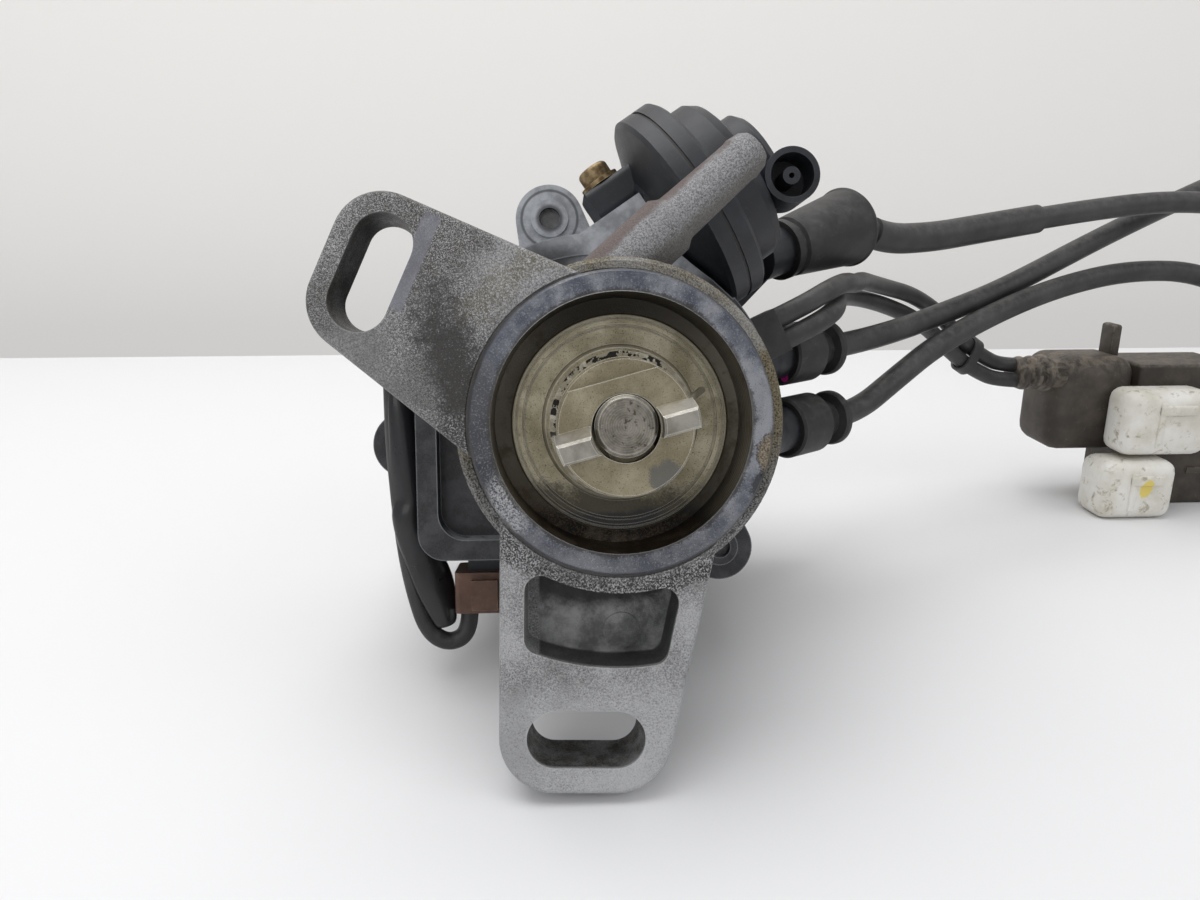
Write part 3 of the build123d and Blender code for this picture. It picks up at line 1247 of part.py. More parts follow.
PICKUP_ROUTE = [
    (-49.8, PICKUP_GROMMET_BOX[0][1], -PICKUP_DEPTH),
    (-49.8, -4, -PICKUP_DEPTH),
    (-49, -17, -PICKUP_DEPTH - 0.3),
    (-47.9, -30, -PICKUP_DEPTH - 0.5),
    (-46, -41, -PICKUP_DEPTH - 0.6),
    (-43.2, -50.8, -PICKUP_DEPTH - 0.9),
    (-38.2, -54.2, -PICKUP_DEPTH - 1.4),
    (-33.2, -51.6, -CONNECTOR_PLACE[1]),
    (-33.2, -BOWL_FOOT - STALK_DROP - IGNITER_PLUG_HEIGHT, -CONNECTOR_PLACE[1]),
]
HOOD_BOX = ((163, 146, FLOOR + 20), (195, 172, FLOOR + 55))
WHITE_BOXES = (
    ((177, 129, FLOOR), (204, 146, FLOOR + 21)),
    ((183, 131, FLOOR + 22.5), (214, 146, FLOOR + 45.5)),
)
REAR_BOX = ((195, 146, FLOOR), (232, 172, FLOOR + 52))


def sleeve(points, first, last, outer, inner):
    """A sleeve on a cord, from halfway before one corner of its route to halfway after another."""
    radii = corner_radii(points)[first - 1:last]
    start = (Vector(*points[first - 1]) + Vector(*points[first])) * 0.5
    end = (Vector(*points[last]) + Vector(*points[last + 1])) * 0.5
    path = FilletPolyline(start, *points[first:last + 1], end, radius=radii)
    return sweep(Plane(origin=path @ 0, z_dir=path % 0) * (Circle(outer) - Circle(inner)), path=path)


def make_cable_tie():
    """A nylon tie round both harness cables, with its lock and its tail."""
    low_start, low_end = (Vector(*point) for point in HARNESS_LOWER_ROUTE[10:12])
    high_start, high_end = (Vector(*point) for point in HARNESS_UPPER_ROUTE[10:12])
    middle = (low_start + low_end + high_start + high_end) * 0.25
    plane = Plane(origin=middle, x_dir=high_start - low_start, z_dir=low_end - low_start)
    across, tall = HARNESS_SPACING + 2 * HARNESS_RADIUS + 0.8, 2 * HARNESS_RADIUS + 0.8
    band = SlotOverall(across + 1.8, tall + 1.8) - SlotOverall(across, tall)
    lock = Pos(0, -tall / 2 - 1.8) * Box(5.0, 3.0, 4.6)
    tail = Pos(4.4, -tall / 2 - 2.4) * Rot(0, 0, -20) * Box(11, 1.1, 2.6)
    return plane.location * largest(extrude(band, amount=1.8, both=True) + lock + tail)


# ================================================================ the whole assembly
AXIAL = {
    "housing": make_housing,
    "oil_seal": make_oil_seal,
    "shaft_bearing": make_shaft_bearing,
    "rear_bush": make_rear_bush,
    "drive_shaft": make_drive_shaft,
    "coupling_hub": make_coupling_hub,
    "coupling_pin": make_coupling_pin,
    "retaining_band": make_retaining_band,
    "dog_ring": make_dog_ring,
    "thrust_washer": make_thrust_washer,
    "governor_plate": make_governor_plate,
    "governor_weight_a": lambda: make_governor_weight("a"),
    "governor_weight_b": lambda: make_governor_weight("b"),
    "governor_springs": make_governor_springs,
    "cam_sleeve": make_cam_sleeve,
    "reluctor": make_reluctor,
    "advance_plate": make_advance_plate,
    "pickup_coil": make_pickup_coil,
    "rotor_arm": make_rotor_arm,
    "rotor_contact": make_rotor_contact,
    "vacuum_front_shell": make_vacuum_front_shell,
    "vacuum_rear_shell": make_vacuum_rear_shell,
    "vacuum_diaphragm": make_diaphragm,
    "vacuum_spring": make_vacuum_spring,
    "vacuum_rod": make_vacuum_rod,
    "vacuum_screw": make_vacuum_screw,
    "cap": make_cap,
    "cap_terminals": make_cap_terminals,
    "cap_seal": seal_ring,
    "cap_screws": make_rim_screws,
    "carbon_brush": make_carbon_brush,
    "brush_spring": make_brush_spring,
    "igniter": make_igniter,
    "igniter_plug": make_igniter_plug,
    "pickup_grommet": make_pickup_grommet,
    "harness_grommet": make_harness_grommet,
    "pickup_lead": lambda: cord("pickup_lead", PICKUP_ROUTE, PICKUP_LEAD_RADIUS),
    "pickup_sleeve": lambda: sleeve(PICKUP_ROUTE, 1, 4, PICKUP_SLEEVE_RADIUS, PICKUP_LEAD_RADIUS),
    "coil_boot": make_coil_boot,
    "plug_lead_boot_upper": lambda: make_tower_boot("front_upper"),
    "plug_lead_boot_lower": lambda: make_tower_boot("front_lower"),
}
ON_THE_BENCH = {
    "coil_lead": lambda: cord("coil_lead", LEAD_A_ROUTE, LEAD_RADIUS),
    "plug_lead_upper": lambda: cord("plug_lead_upper", LEAD_B_ROUTE, LEAD_RADIUS),
    "plug_lead_lower": lambda: cord("plug_lead_lower", LEAD_C_ROUTE, LEAD_RADIUS),
    "coil_lead_sleeve": lambda: sleeve(LEAD_A_ROUTE, 2, 4, SLEEVE_RADIUS, LEAD_RADIUS),
    "coil_end_boot": lambda: make_plug_boot(LEAD_A_ROUTE[-1]),
    "plug_end_boot_upper": lambda: make_plug_boot(LEAD_B_ROUTE[-1]),
    "plug_end_boot_lower": lambda: make_plug_boot(LEAD_C_ROUTE[-1]),
    "harness_cable_lower": lambda: cord("harness_cable_lower", HARNESS_LOWER_ROUTE, HARNESS_RADIUS),
    "harness_cable_upper": lambda: cord("harness_cable_upper", HARNESS_UPPER_ROUTE, HARNESS_RADIUS),
    "cable_tie": make_cable_tie,
    "connector_hood": make_plug_hood,
    "connector_shell_lower": lambda: make_white_shells()[0],
    "connector_shell_upper": lambda: make_white_shells()[1],
    "connector_block": make_rear_connector,
}

os.makedirs("parts", exist_ok=True)
for node, make in AXIAL.items():
    export_step(LAID * make(), f"parts/{node}.step")
for node, make in ON_THE_BENCH.items():
    export_step(make(), f"parts/{node}.step")
print(f"tilt {TILT:.2f} degrees, bench at Z = {FLOOR:.2f}")
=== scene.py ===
import json
from math import cos, pi, radians, sin

import bmesh
import bpy
from mathutils import Matrix, Vector


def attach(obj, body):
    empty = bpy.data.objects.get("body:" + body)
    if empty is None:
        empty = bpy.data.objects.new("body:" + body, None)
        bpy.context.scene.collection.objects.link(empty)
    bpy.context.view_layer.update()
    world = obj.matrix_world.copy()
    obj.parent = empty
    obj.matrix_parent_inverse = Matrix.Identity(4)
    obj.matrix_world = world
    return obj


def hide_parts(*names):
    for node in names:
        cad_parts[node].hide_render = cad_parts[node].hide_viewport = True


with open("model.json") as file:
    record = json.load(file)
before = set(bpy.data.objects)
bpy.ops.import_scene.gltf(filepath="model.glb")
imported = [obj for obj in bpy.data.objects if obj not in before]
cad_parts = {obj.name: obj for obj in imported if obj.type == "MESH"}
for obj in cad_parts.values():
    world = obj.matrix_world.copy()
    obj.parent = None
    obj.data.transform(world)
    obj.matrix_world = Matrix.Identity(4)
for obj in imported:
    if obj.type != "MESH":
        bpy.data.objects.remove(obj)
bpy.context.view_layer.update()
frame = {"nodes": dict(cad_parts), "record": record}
MM = 0.001
TILT = radians(12.1325)        # how far the shaft is tipped up from level
BENCH = -71.33 * MM


def spot(*point):
    """A place in millimetres, in the bench's own directions."""
    return Vector(point) * MM


# ---------------------------------------------------------------- camera
camera_data = bpy.data.cameras.new("camera")
camera = bpy.data.objects.new("camera", camera_data)
bpy.context.collection.objects.link(camera)
forward = Vector((0.04861712, 0.95859146, -0.28060432))
right = Vector((0.99871636, -0.05065214, 0.0))
above = right.cross(forward)
turn = Matrix((right, above, -forward)).transposed().to_4x4()
camera.matrix_world = Matrix.Translation(spot(-12.15, -159.33, 41.75)) @ turn
camera_data.sensor_width = 36
camera_data.lens = 27.18
camera_data.clip_start = 0.01
bpy.context.scene.camera = camera
bpy.context.scene.view_settings.view_transform = "Standard"


# ---------------------------------------------------------------- materials: the maker's tools
class Amount:
    """A number that changes over a surface. Sums and products of it add Math nodes."""

    def __init__(self, finish, socket):
        self.finish, self.socket = finish, socket

    def _with(self, operation, *others, before=()):
        values = [v.socket if isinstance(v, Amount) else v for v in (*before, self, *others)]
        return self.finish.amount("Math", {"operation": operation}, dict(enumerate(values)))

    def __add__(self, other):
        return self._with("ADD", other)

    def __sub__(self, other):
        return self._with("SUBTRACT", other)

    def __rsub__(self, other):
        return self._with("SUBTRACT", before=(other,))

    def __mul__(self, other):
        return self._with("MULTIPLY", other)

    def __truediv__(self, other):
        return self._with("DIVIDE", other)

    def __pow__(self, other):
        return self._with("POWER", other)

    __radd__ = __add__
    __rmul__ = __mul__

    def least(self, other):
        return self._with("MINIMUM", other)

    def most(self, other):
        return self._with("MAXIMUM", other)

    def size(self):
        return self._with("ABSOLUTE")

    def wave(self):
        return self._with("SINE")

    def rise(self, low, high):
        """0 below low, 1 above high, and smooth between; the other way round when low is the larger."""
        settings = {"interpolation_type": "SMOOTHSTEP"}
        values = {"Value": self.socket, "From Min": min(low, high), "From Max": max(low, high)}
        if low > high:
            values |= {"To Min": 1.0, "To Max": 0.0}
        return self.finish.amount("MapRange", settings, values)

    def between(self, low, high, soft):
        return self.rise(low - soft, low + soft) * self.rise(high + soft, high - soft)


class Finish:
    """One procedural finish, with its nodes and its shader."""

    def __init__(self, name):
        self.material = bpy.data.materials.new(name)
        self.material.use_nodes = True
        self.nodes, self.links = self.material.node_tree.nodes, self.material.node_tree.links
        self.nodes.clear()
        self.shader = self.node("BsdfPrincipled")
        self.node("OutputMaterial", values={"Surface": self.shader.outputs[0]})
        self.here = self.node("TexCoord").outputs["Object"]

    def node(self, kind, settings=None, values=None):
        made = self.nodes.new("ShaderNode" + kind)
        for key, value in (settings or {}).items():
            setattr(made, key, value)
        for key, value in (values or {}).items():
            if isinstance(value, Amount):
                value = value.socket
            if isinstance(value, bpy.types.NodeSocket):
                self.links.new(value, made.inputs[key])
            else:
                made.inputs[key].default_value = value
        return made

    def amount(self, kind, settings=None, values=None, out=0):
        return Amount(self, self.node(kind, settings, values).outputs[out])

    def noise(self, scale, detail=3, rough=0.55, warp=0.0):
        values = {"Vector": self.here, "Scale": scale, "Detail": detail, "Roughness": rough}
        return self.amount("TexNoise", None, values | {"Distortion": warp})

    def mix(self, share, first, second):
        """From the first colour to the second, by a share from 0 to 1."""
        made = self.node("Mix", {"data_type": "RGBA"}, {0: share})
        for index, colour in ((6, first), (7, second)):
            if isinstance(colour, bpy.types.NodeSocket):
                self.links.new(colour, made.inputs[index])
            else:
                made.inputs[index].default_value = (*colour, 1.0)
        return made.outputs[2]

    def own_frame(self):
        """Coordinates across, up and out of the mouth, as the housing's drawing has them."""
        values = {"Vector": self.here, "Rotation": (TILT - pi / 2, 0, 0)}
        place = self.node("Mapping", None, values).outputs[0]
        parts = self.node("SeparateXYZ", None, {0: place}).outputs
        return [Amount(self, parts[i]) / MM for i in range(3)]

    def dust(self, low, high):
        """More on what faces up."""
        normal = self.node("NewGeometry").outputs["Normal"]
        up = Amount(self, self.node("SeparateXYZ", None, {0: normal}).outputs[2])
        return up.rise(low, high)

    def edges(self, radius):
        """1 along sharp edges, within a radius in millimetres, and 0 elsewhere."""
        soft = self.node("Bevel", {"samples": 4}, {"Radius": radius * MM}).outputs[0]
        hard = self.node("NewGeometry").outputs["True Normal"]
        match = self.node("VectorMath", {"operation": "DOT_PRODUCT"}, {0: soft, 1: hard})
        return Amount(self, match.outputs["Value"]).rise(0.995, 0.88)

    def done(self, colour, roughness, metallic=0.0, bump=None, height=0.0002, strength=1.0, coat=0.0):
        settings = {"Base Color": colour, "Roughness": roughness}
        settings |= {"Metallic": metallic, "Coat Weight": coat}
        for key, value in settings.items():
            if isinstance(value, Amount):
                value = value.socket
            if isinstance(value, bpy.types.NodeSocket):
                self.links.new(value, self.shader.inputs[key])
            else:
                self.shader.inputs[key].default_value = (*value, 1.0) if key == "Base Color" else value
        if bump is not None:
            values = {"Strength": strength, "Distance": height, "Height": bump}
            made = self.node("Bump", None, values)
            self.links.new(made.outputs[0], self.shader.inputs["Normal"])
        return self.material


def distance(x, y, middle=(0, 0), spread=(1, 1)):
    """How far a place is from a middle, with the square of each side over its spread."""
    x, y = x - middle[0], y - middle[1]
    return (x * x / spread[0] + y * y / spread[1]) ** 0.5


def turned(x, y, way, middle=(0, 0)):
    """How far a place is along a way, and across it, from a middle."""
    x, y = x - middle[0], y - middle[1]
    return x * way[0] + y * way[1], y * way[0] - x * way[1]


# ---------------------------------------------------------------- materials: the finishes
# Sizes on the casting, in its own millimetres: across, up, and depth behind the mouth's face.
EARS = ((48.2, 105.5), (48.2, 188.0), (43.0, 310.0))       # reach from the shaft, and turn in degrees
SLOTS = (((-45.0, 27.7), 65.5), ((-7.2, -59.4), -2.0))     # middle, and turn in degrees
SLOT_HALF_LENGTH = 5.7         # from its middle to where its round ends start
SPOUT_WAY = (0.749, 0.6626)
SPOUT_OFFSET = 21.6            # from the shaft to the spout's middle line
OIL_WAY = (0.972, 0.235)
OIL_MIDDLE = (-27.4, 19.0)     # along and across that way
FLAT_WAY = (0.91, -0.415)
FLAT_MIDDLE = (-37.2, 29.5)
RUBBED, RUBBED_SPREAD = (-21.5, -15), (22, 34)
CHIP, CHIP_SPREAD = (27.2, -5.6), (4.6, 20)
SMEAR, SMEAR_SPREAD = (26.2, -13.0), (5, 16)


class Casting(Finish):
    """The casting's places and grains, and the finish of each of its regions."""

    def __init__(self):
        super().__init__("cast_aluminium")
        self.x, self.y, z = self.own_frame()
        self.depth = z * -1
        self.radius = distance(self.x, self.y)
        self.grain = self.noise(3000, 4, 0.7)
        self.fleck = self.noise(5200, 2, 0.6)
        self.cloud = self.noise(55, 4, 0.55)
        self.patch = self.noise(210, 5, 0.65)
        self.ragged = (self.patch - 0.5) * 2.4 + (self.grain - 0.5) * 1.5
        self.worn = self.edges(0.5)
        self.front = self.depth.rise(9.0, 2.2)
        self.back = self.depth.rise(17, 27)
        self.ring = self.radius.between(24.05, 28.6, 0.12) * self.depth.rise(4.3, 3.9)
        self.wall = self.radius.rise(24.3, 24.0) * self.depth.rise(0.15, 0.5) * self.depth.rise(16, 14)
        self.bored = (self.depth * 4.4 + (self.cloud - 0.5) * 3).wave() * 0.5 + 0.5
        self.low = self.uneven(self.y, 6).rise(-15.5, -19.5) * self.wall
        self.chip = (distance(self.x, self.y, CHIP, CHIP_SPREAD) + self.ragged * 0.75).rise(1.15, 0.95)
        over, length = turned(self.x, self.y, OIL_WAY)
        creep = distance(over, length, OIL_MIDDLE, (32, 230))
        self.spread = (creep + self.ragged).rise(1.35, 0.45) * self.front
        self.far = self.uneven(creep, 1.5).rise(2.8, 1.0) * self.front * self.fleck.rise(0.55, 0.43)

    def uneven(self, value, by):
        """The same value with a patchy edge."""
        return value + (self.patch - 0.5) * by

    def speckle(self, low, high, dark, light):
        return self.mix(self.grain.rise(low, high), dark, light)

    def sand(self):
        """Grey sand-rough skin with large clouds, rubbed pale on the lower lug and along the edges."""
        colour = self.speckle(0.32, 0.68, (0.13, 0.128, 0.128), (0.46, 0.46, 0.47))
        colour = self.mix(self.fleck.rise(0.58, 0.70) * 0.4, colour, (0.62, 0.62, 0.63))
        dull = (self.cloud * 0.6 + self.patch * 0.4).rise(0.46, 0.62)
        colour = self.mix(dull * 0.6, colour, (0.14, 0.138, 0.135))
        colour = self.mix(self.cloud.rise(0.44, 0.30) * 0.45, colour, (0.55, 0.55, 0.565))
        colour = self.mix(self.fleck.rise(0.42, 0.32) * 0.55, colour, (0.045, 0.043, 0.040))
        low_lug = self.y.rise(-46, -54) * 0.75 + (self.x - 6).rise(2, 8) * self.y.rise(-30, -40) * 0.4
        colour = self.mix(low_lug * self.grain.rise(0.25, 0.45) * 0.55, colour, (0.58, 0.585, 0.60))
        return self.mix(self.worn * 0.45, colour, (0.56, 0.555, 0.545))

    def bowl(self, colour):
        """The bowl behind is darker, bluer and smoother, and its ears and arm are pale."""
        bowl = self.mix(self.patch.rise(0.38, 0.66), (0.018, 0.018, 0.020), (0.052, 0.052, 0.057))
        bowl = self.mix(self.worn * 0.8, bowl, (0.30, 0.31, 0.33))
        settled = self.dust(0.40, 0.95) * self.patch.rise(0.34, 0.5)
        bowl = self.mix(settled * 0.85, bowl, (0.32, 0.33, 0.35))
        arm = (self.y - self.x * 0.67).rise(13, 20) * self.x.rise(-12, 0)
        upper = (arm + self.y.rise(34, 42)).least(1)
        pale = self.mix(self.patch.rise(0.35, 0.65), (0.26, 0.27, 0.29), (0.46, 0.475, 0.505))
        for reach, turn in EARS:
            hole = (reach * cos(radians(turn)), reach * sin(radians(turn)))
            from_hole = distance(self.x, self.y, hole)
            # painted shade: a dark ring at the edge of each ear's raised rim, and a dark spot for a small
            # hole in its middle
            pale = self.mix(from_hole.between(6.3, 6.9, 0.2) * 0.75, pale, (0.05, 0.05, 0.055))
            pale = self.mix(from_hole.between(2.0, 3.2, 0.5) * 0.8, pale, (0.035, 0.035, 0.04))
        return self.mix(self.back * 0.93, colour, self.mix(upper, bowl, pale))

    def spout(self, colour):
        """The cast spout is smoother, with a rust-brown line along its upper side."""
        along, across = turned(self.x, self.y, SPOUT_WAY)
        across = across - SPOUT_OFFSET
        spout = along.rise(9, 14) * across.size().rise(7.4, 6.8)
        spout = spout * self.depth.rise(5, 7) * self.depth.rise(22, 20.5)
        skin = self.speckle(0.32, 0.66, (0.12, 0.118, 0.118), (0.38, 0.38, 0.395))
        skin = self.mix(self.fleck.rise(0.43, 0.34) * 0.7, skin, (0.04, 0.037, 0.033))
        skin = self.mix((across + self.ragged * 1.3).rise(3.2, 4.3) * 0.7, skin, (0.105, 0.066, 0.055))
        skin = self.mix((across + self.ragged).rise(-0.6, -3.6) * 0.6, skin, (0.085, 0.078, 0.062))
        return self.mix(spout, colour, skin)

    def oil(self, colour):
        """Oil that has crept over the neck of the upper lug, and the speckles beyond it."""
        clean = self.grain.rise(0.55, 0.72) * 0.5
        colour = self.mix(self.spread * (0.97 - clean), colour, (0.016, 0.015, 0.016))
        colour = self.mix(self.far * 0.8, colour, (0.04, 0.036, 0.030))
        top_edge = self.uneven(self.x * -0.43 + self.y * 0.9, 12).rise(35.5, 42.0)
        top_edge = top_edge * self.front * self.fleck.rise(0.56, 0.46)
        return self.mix(top_edge * 0.8, colour, (0.05, 0.046, 0.036))

    def boss(self, colour):
        """Olive and brown stains on and beside the boss, with black specks round its foot."""
        olive = self.uneven(self.radius, 9).between(31, 36, 2)
        olive = olive * (self.y + self.x * 0.5).rise(2, 10) * self.front
        colour = self.mix(olive * self.grain.rise(0.62, 0.42) * 0.6, colour, (0.125, 0.108, 0.055))
        foot = (self.radius + self.ragged * 1.6).between(28.5, 33.0, 1.4)
        foot = foot * self.front * self.grain.rise(0.60, 0.44)
        foot = foot * (self.y * -1 + self.x * -0.4).rise(-14, 4)
        colour = self.mix(foot * 0.9, colour, (0.026, 0.024, 0.021))
        boss = self.radius.between(28.3, 31.3, 0.15) * self.depth.between(2.5, 16.5, 0.8)
        stain = self.speckle(0.36, 0.62, (0.035, 0.029, 0.017), (0.25, 0.215, 0.14))
        plain_grey = self.speckle(0.4, 0.6, (0.03, 0.03, 0.03), (0.25, 0.25, 0.25))
        stain = self.mix(self.y.rise(2, -14) * 0.85, stain, plain_grey)
        return self.mix(boss * (0.5 + 0.5 * self.cloud.rise(0.36, 0.52)), colour, stain)

    def machined_ring(self, colour):
        """Oily on the left, pale on the right, rubbed at the lower left and chipped at the right."""
        mottle = (self.cloud * 0.55 + self.patch * 0.45).rise(0.40, 0.60)
        face = self.mix(mottle, (0.085, 0.093, 0.118), (0.29, 0.298, 0.325))
        oily = self.uneven(self.x * -1 + (self.y + 6).size() * -0.55, 16) + (self.cloud - 0.5) * 14
        face = self.mix(oily.rise(8, 20) * 0.82, face, (0.030, 0.030, 0.037))
        face = self.mix(self.uneven(self.y * -1, 12).rise(12, 24) * 0.5, face, (0.085, 0.086, 0.098))
        rubbed = distance(self.x, self.y, RUBBED, RUBBED_SPREAD) + self.ragged * 0.5
        rubbed = rubbed.rise(1.3, 0.6) * self.grain.rise(0.40, 0.58)
        face = self.mix(rubbed * 0.9, face, (0.44, 0.44, 0.45))
        face = self.mix(self.grain.rise(0.52, 0.66) * 0.35, face, (0.44, 0.45, 0.475))
        face = self.mix(self.fleck.rise(0.40, 0.30) * 0.8, face, (0.03, 0.03, 0.032))
        chipped = self.speckle(0.4, 0.6, (0.07, 0.05, 0.03), (0.33, 0.27, 0.19))
        face = self.mix(self.chip * 0.9, face, chipped)
        smear = distance(self.x, self.y, SMEAR, SMEAR_SPREAD) + self.ragged * 0.7
        face = self.mix(smear.rise(1.2, 0.8) * 0.85, face, (0.045, 0.046, 0.05))
        edge = self.uneven(self.radius, 2.2) + (self.grain - 0.5) * 1.6
        rim_dirt = (edge.rise(24.9, 24.3) + edge.rise(27.5, 28.1)).least(1)
        face = self.mix(rim_dirt * 0.72, face, (0.045, 0.040, 0.032))
        return self.mix(self.ring, colour, face)

    def mouth(self, colour):
        """The oily bored wall, brown over olive-grey, with black deposits and rust at its bottom."""
        side = (self.y - 2).size().rise(22, 8)
        tone = self.mix(self.bored, (0.12, 0.104, 0.078), (0.26, 0.235, 0.19))
        # painted shade: the bored wall is darker at its top and bottom than at its sides
        tone = self.mix((1 - side) * 0.75, tone, (0.030, 0.024, 0.016))
        tone = self.mix(self.patch.rise(0.52, 0.66) * 0.55, tone, (0.085, 0.058, 0.026))
        colour = self.mix(self.wall, colour, tone)
        colour = self.mix(self.low * self.patch.rise(0.36, 0.5), colour, (0.010, 0.009, 0.008))
        rust = (self.y + self.x * 0.35).rise(-12, -17) * self.grain.between(0.56, 0.62, 0.02)
        rust = rust * self.wall
        return self.mix(rust * 0.7, colour, (0.26, 0.15, 0.06))

    def pocket(self, colour):
        """The pocket in the lower lug, with painted shade in its corners and on its walls."""
        pocket = self.radius.rise(31.0, 31.8) * self.radius.rise(46.6, 46.0) * self.y.rise(-20, -24)
        pocket = pocket * self.depth.rise(1.9, 2.6) * self.depth.rise(14.5, 13)
        pocket = pocket * (self.x - 0.1).size().rise(16.2, 15.6)
        mottle = (self.patch * 0.7 + self.cloud * 0.3).rise(0.38, 0.60)
        tone = self.mix(mottle, (0.13, 0.13, 0.13), (0.36, 0.36, 0.363))
        # painted shade along the pocket's upper edge under the boss, reaching further on the left
        corner = (self.uneven(self.radius, 5) + self.x * 0.12).rise(38.0, 34.0)
        tone = self.mix(corner * 0.9, tone, (0.018, 0.018, 0.018))
        # painted shade on the pocket's walls, speckled
        side = 1 - self.depth.rise(9.2, 10.0)
        speckled_wall_shade = self.speckle(0.4, 0.64, (0.014, 0.014, 0.014), (0.075, 0.075, 0.073))
        return self.mix(pocket * 0.95, colour, self.mix(side * 0.85, tone, speckled_wall_shade))

    def flat(self, colour):
        """The smooth flat beside the upper slot, with a blue-grey painted highlight."""
        across, along = turned(self.x, self.y, FLAT_WAY, FLAT_MIDDLE)
        flat = self.uneven(across, 0.8).between(-1.6, 1.5, 0.25) * along.size().rise(9.6, 8.8)
        # painted highlight: the flat is made a lighter blue-grey
        smooth = self.mix(self.patch.rise(0.35, 0.65), (0.17, 0.172, 0.20), (0.26, 0.263, 0.30))
        return self.mix(flat * self.front * 0.75, colour, smooth)

    def slots(self, colour):
        """Painted shade, speckled like grime, on the walls of both slots."""
        slots = 0
        for middle, turn in SLOTS:
            way = (cos(radians(turn)), sin(radians(turn)))
            along, across = turned(self.x, self.y, way, middle)
            gap = distance((along.size() - SLOT_HALF_LENGTH).most(0), across)
            slots = gap.rise(5.85, 5.6) * self.depth.rise(1.6, 2.4) * self.depth.rise(14.5, 13) + slots
        # painted shade for the slot walls
        shade_and_grime = self.speckle(0.36, 0.62, (0.018, 0.016, 0.014), (0.125, 0.12, 0.11))
        return self.mix(slots.least(1) * (0.55 + 0.45 * self.patch.rise(0.35, 0.6)), colour, shade_and_grime)


def cast_aluminium():
    """Sand-rough casting with a machined ring, a stained boss and an oily mouth."""
    f = Casting()
    colour = f.sand()
    for region in (f.bowl, f.spout, f.oil, f.boss, f.machined_ring, f.mouth, f.pocket, f.flat, f.slots):
        colour = region(colour)
    wet = f.low * 0.35 + f.spread * 0.10
    metallic = 0.66 - f.spread * 0.5 - f.wall * 0.25 - f.far * 0.3 - f.back * 0.25
    roughness = 0.40 + f.grain * 0.24 - f.ring * 0.08 - f.spread * 0.10 - f.wall * 0.12 - wet * 0.2
    lumps = f.grain * 0.6 + f.fleck * 0.35 + f.patch * 0.6
    bump = lumps * (1 - f.ring * 0.72) * (1 - f.back * 0.72) * (1 - f.wall * 0.5)
    bump = bump + f.wall * f.bored * 0.30 + f.chip * f.ring * -1.2
    return f.done(colour, roughness, metallic, bump, 0.00038, 0.85)


def plated_steel():
    """Olive zinc plating, pitted and stained, rubbed to silver on the dogs and along the edges."""
    f = Finish("plated_steel")
    x, y, z = f.own_frame()
    radius = distance(x, y)
    grain, fleck, cloud = f.noise(2300, 3, 0.7), f.noise(4200, 2), f.noise(120, 5, 0.6)
    lathe = (radius * 26).wave() * 0.5 + 0.5
    colour = f.mix(cloud.rise(0.34, 0.68), (0.21, 0.182, 0.118), (0.42, 0.38, 0.28))
    colour = f.mix(fleck.rise(0.42, 0.32) * 0.75, colour, (0.05, 0.042, 0.026))
    colour = f.mix(grain.rise(0.58, 0.75) * 0.45, colour, (0.50, 0.47, 0.38))
    front = z.rise(2.0, 3.5)
    colour = f.mix(front * 0.3, colour, (0.30, 0.255, 0.165))
    # soot and old oil low on the flange, thicker lower down; painted shade round the rim
    shade_and_grime = ((y * -1) * 0.075 + (cloud - 0.5) * 1.3 + (grain - 0.5) * 0.5).rise(0.72, 1.2) * (1 - front)
    colour = f.mix(shade_and_grime * 0.9, colour, (0.030, 0.024, 0.015))
    crust = (y + (cloud - 0.5) * 7).rise(-15.6, -17.2) * (1 - front) * (x + 3).size().rise(13, 9)
    colour = f.mix(crust, colour, (0.008, 0.007, 0.006))
    # painted shade all round the flange's rim, where it meets the bore
    shaded_rim = (radius + (cloud - 0.5) * 2.0).rise(19.5, 20.8)
    colour = f.mix(shaded_rim * 0.8, colour, (0.06, 0.048, 0.03))
    # painted shade in two fine grooves round the flange
    lines = radius.between(17.85, 18.15, 0.1) + radius.between(19.25, 19.55, 0.1)
    colour = f.mix(lines.least(1) * 0.6 * (1 - front), colour, (0.04, 0.033, 0.02))
    # painted highlight: a bright line round the hub's root, brighter towards the top
    root_highlight = radius.between(14.0, 14.7, 0.25) * z.rise(-6.2, -5.4) * (1 - front)
    colour = f.mix(root_highlight * (0.35 + 0.4 * y.rise(-8, 8)), colour, (0.62, 0.58, 0.47))
    # worn grey on the ring's lower right, rubbed silver on the dogs
    bare = distance(x, y, (7.4, -9.6), (9, 5)) + (cloud - 0.5) * 3.4 + (fleck - 0.5)
    colour = f.mix(bare.rise(1.25, 0.85) * front * 0.8, colour, (0.135, 0.135, 0.13))
    dog = z.rise(8.35, 8.8)
    silver = f.mix(cloud.rise(0.36, 0.64), (0.20, 0.188, 0.165), (0.40, 0.385, 0.36))
    colour = f.mix(dog * 0.8, colour, silver)
    worn = f.edges(0.22)
    colour = f.mix(worn * (0.35 + 0.6 * front), colour, (0.78, 0.76, 0.69))
    roughness = 0.34 + grain * 0.2 + shade_and_grime * 0.15 - dog * 0.05
    lumps = grain * 0.6 + fleck * 0.4 + lathe * 0.12 * (1 - front) + crust * f.noise(700, 4, 0.7) * 3
    return f.done(colour, roughness, 0.86 - crust * 0.7 - shade_and_grime * 0.4, lumps, 0.00013, 0.7)


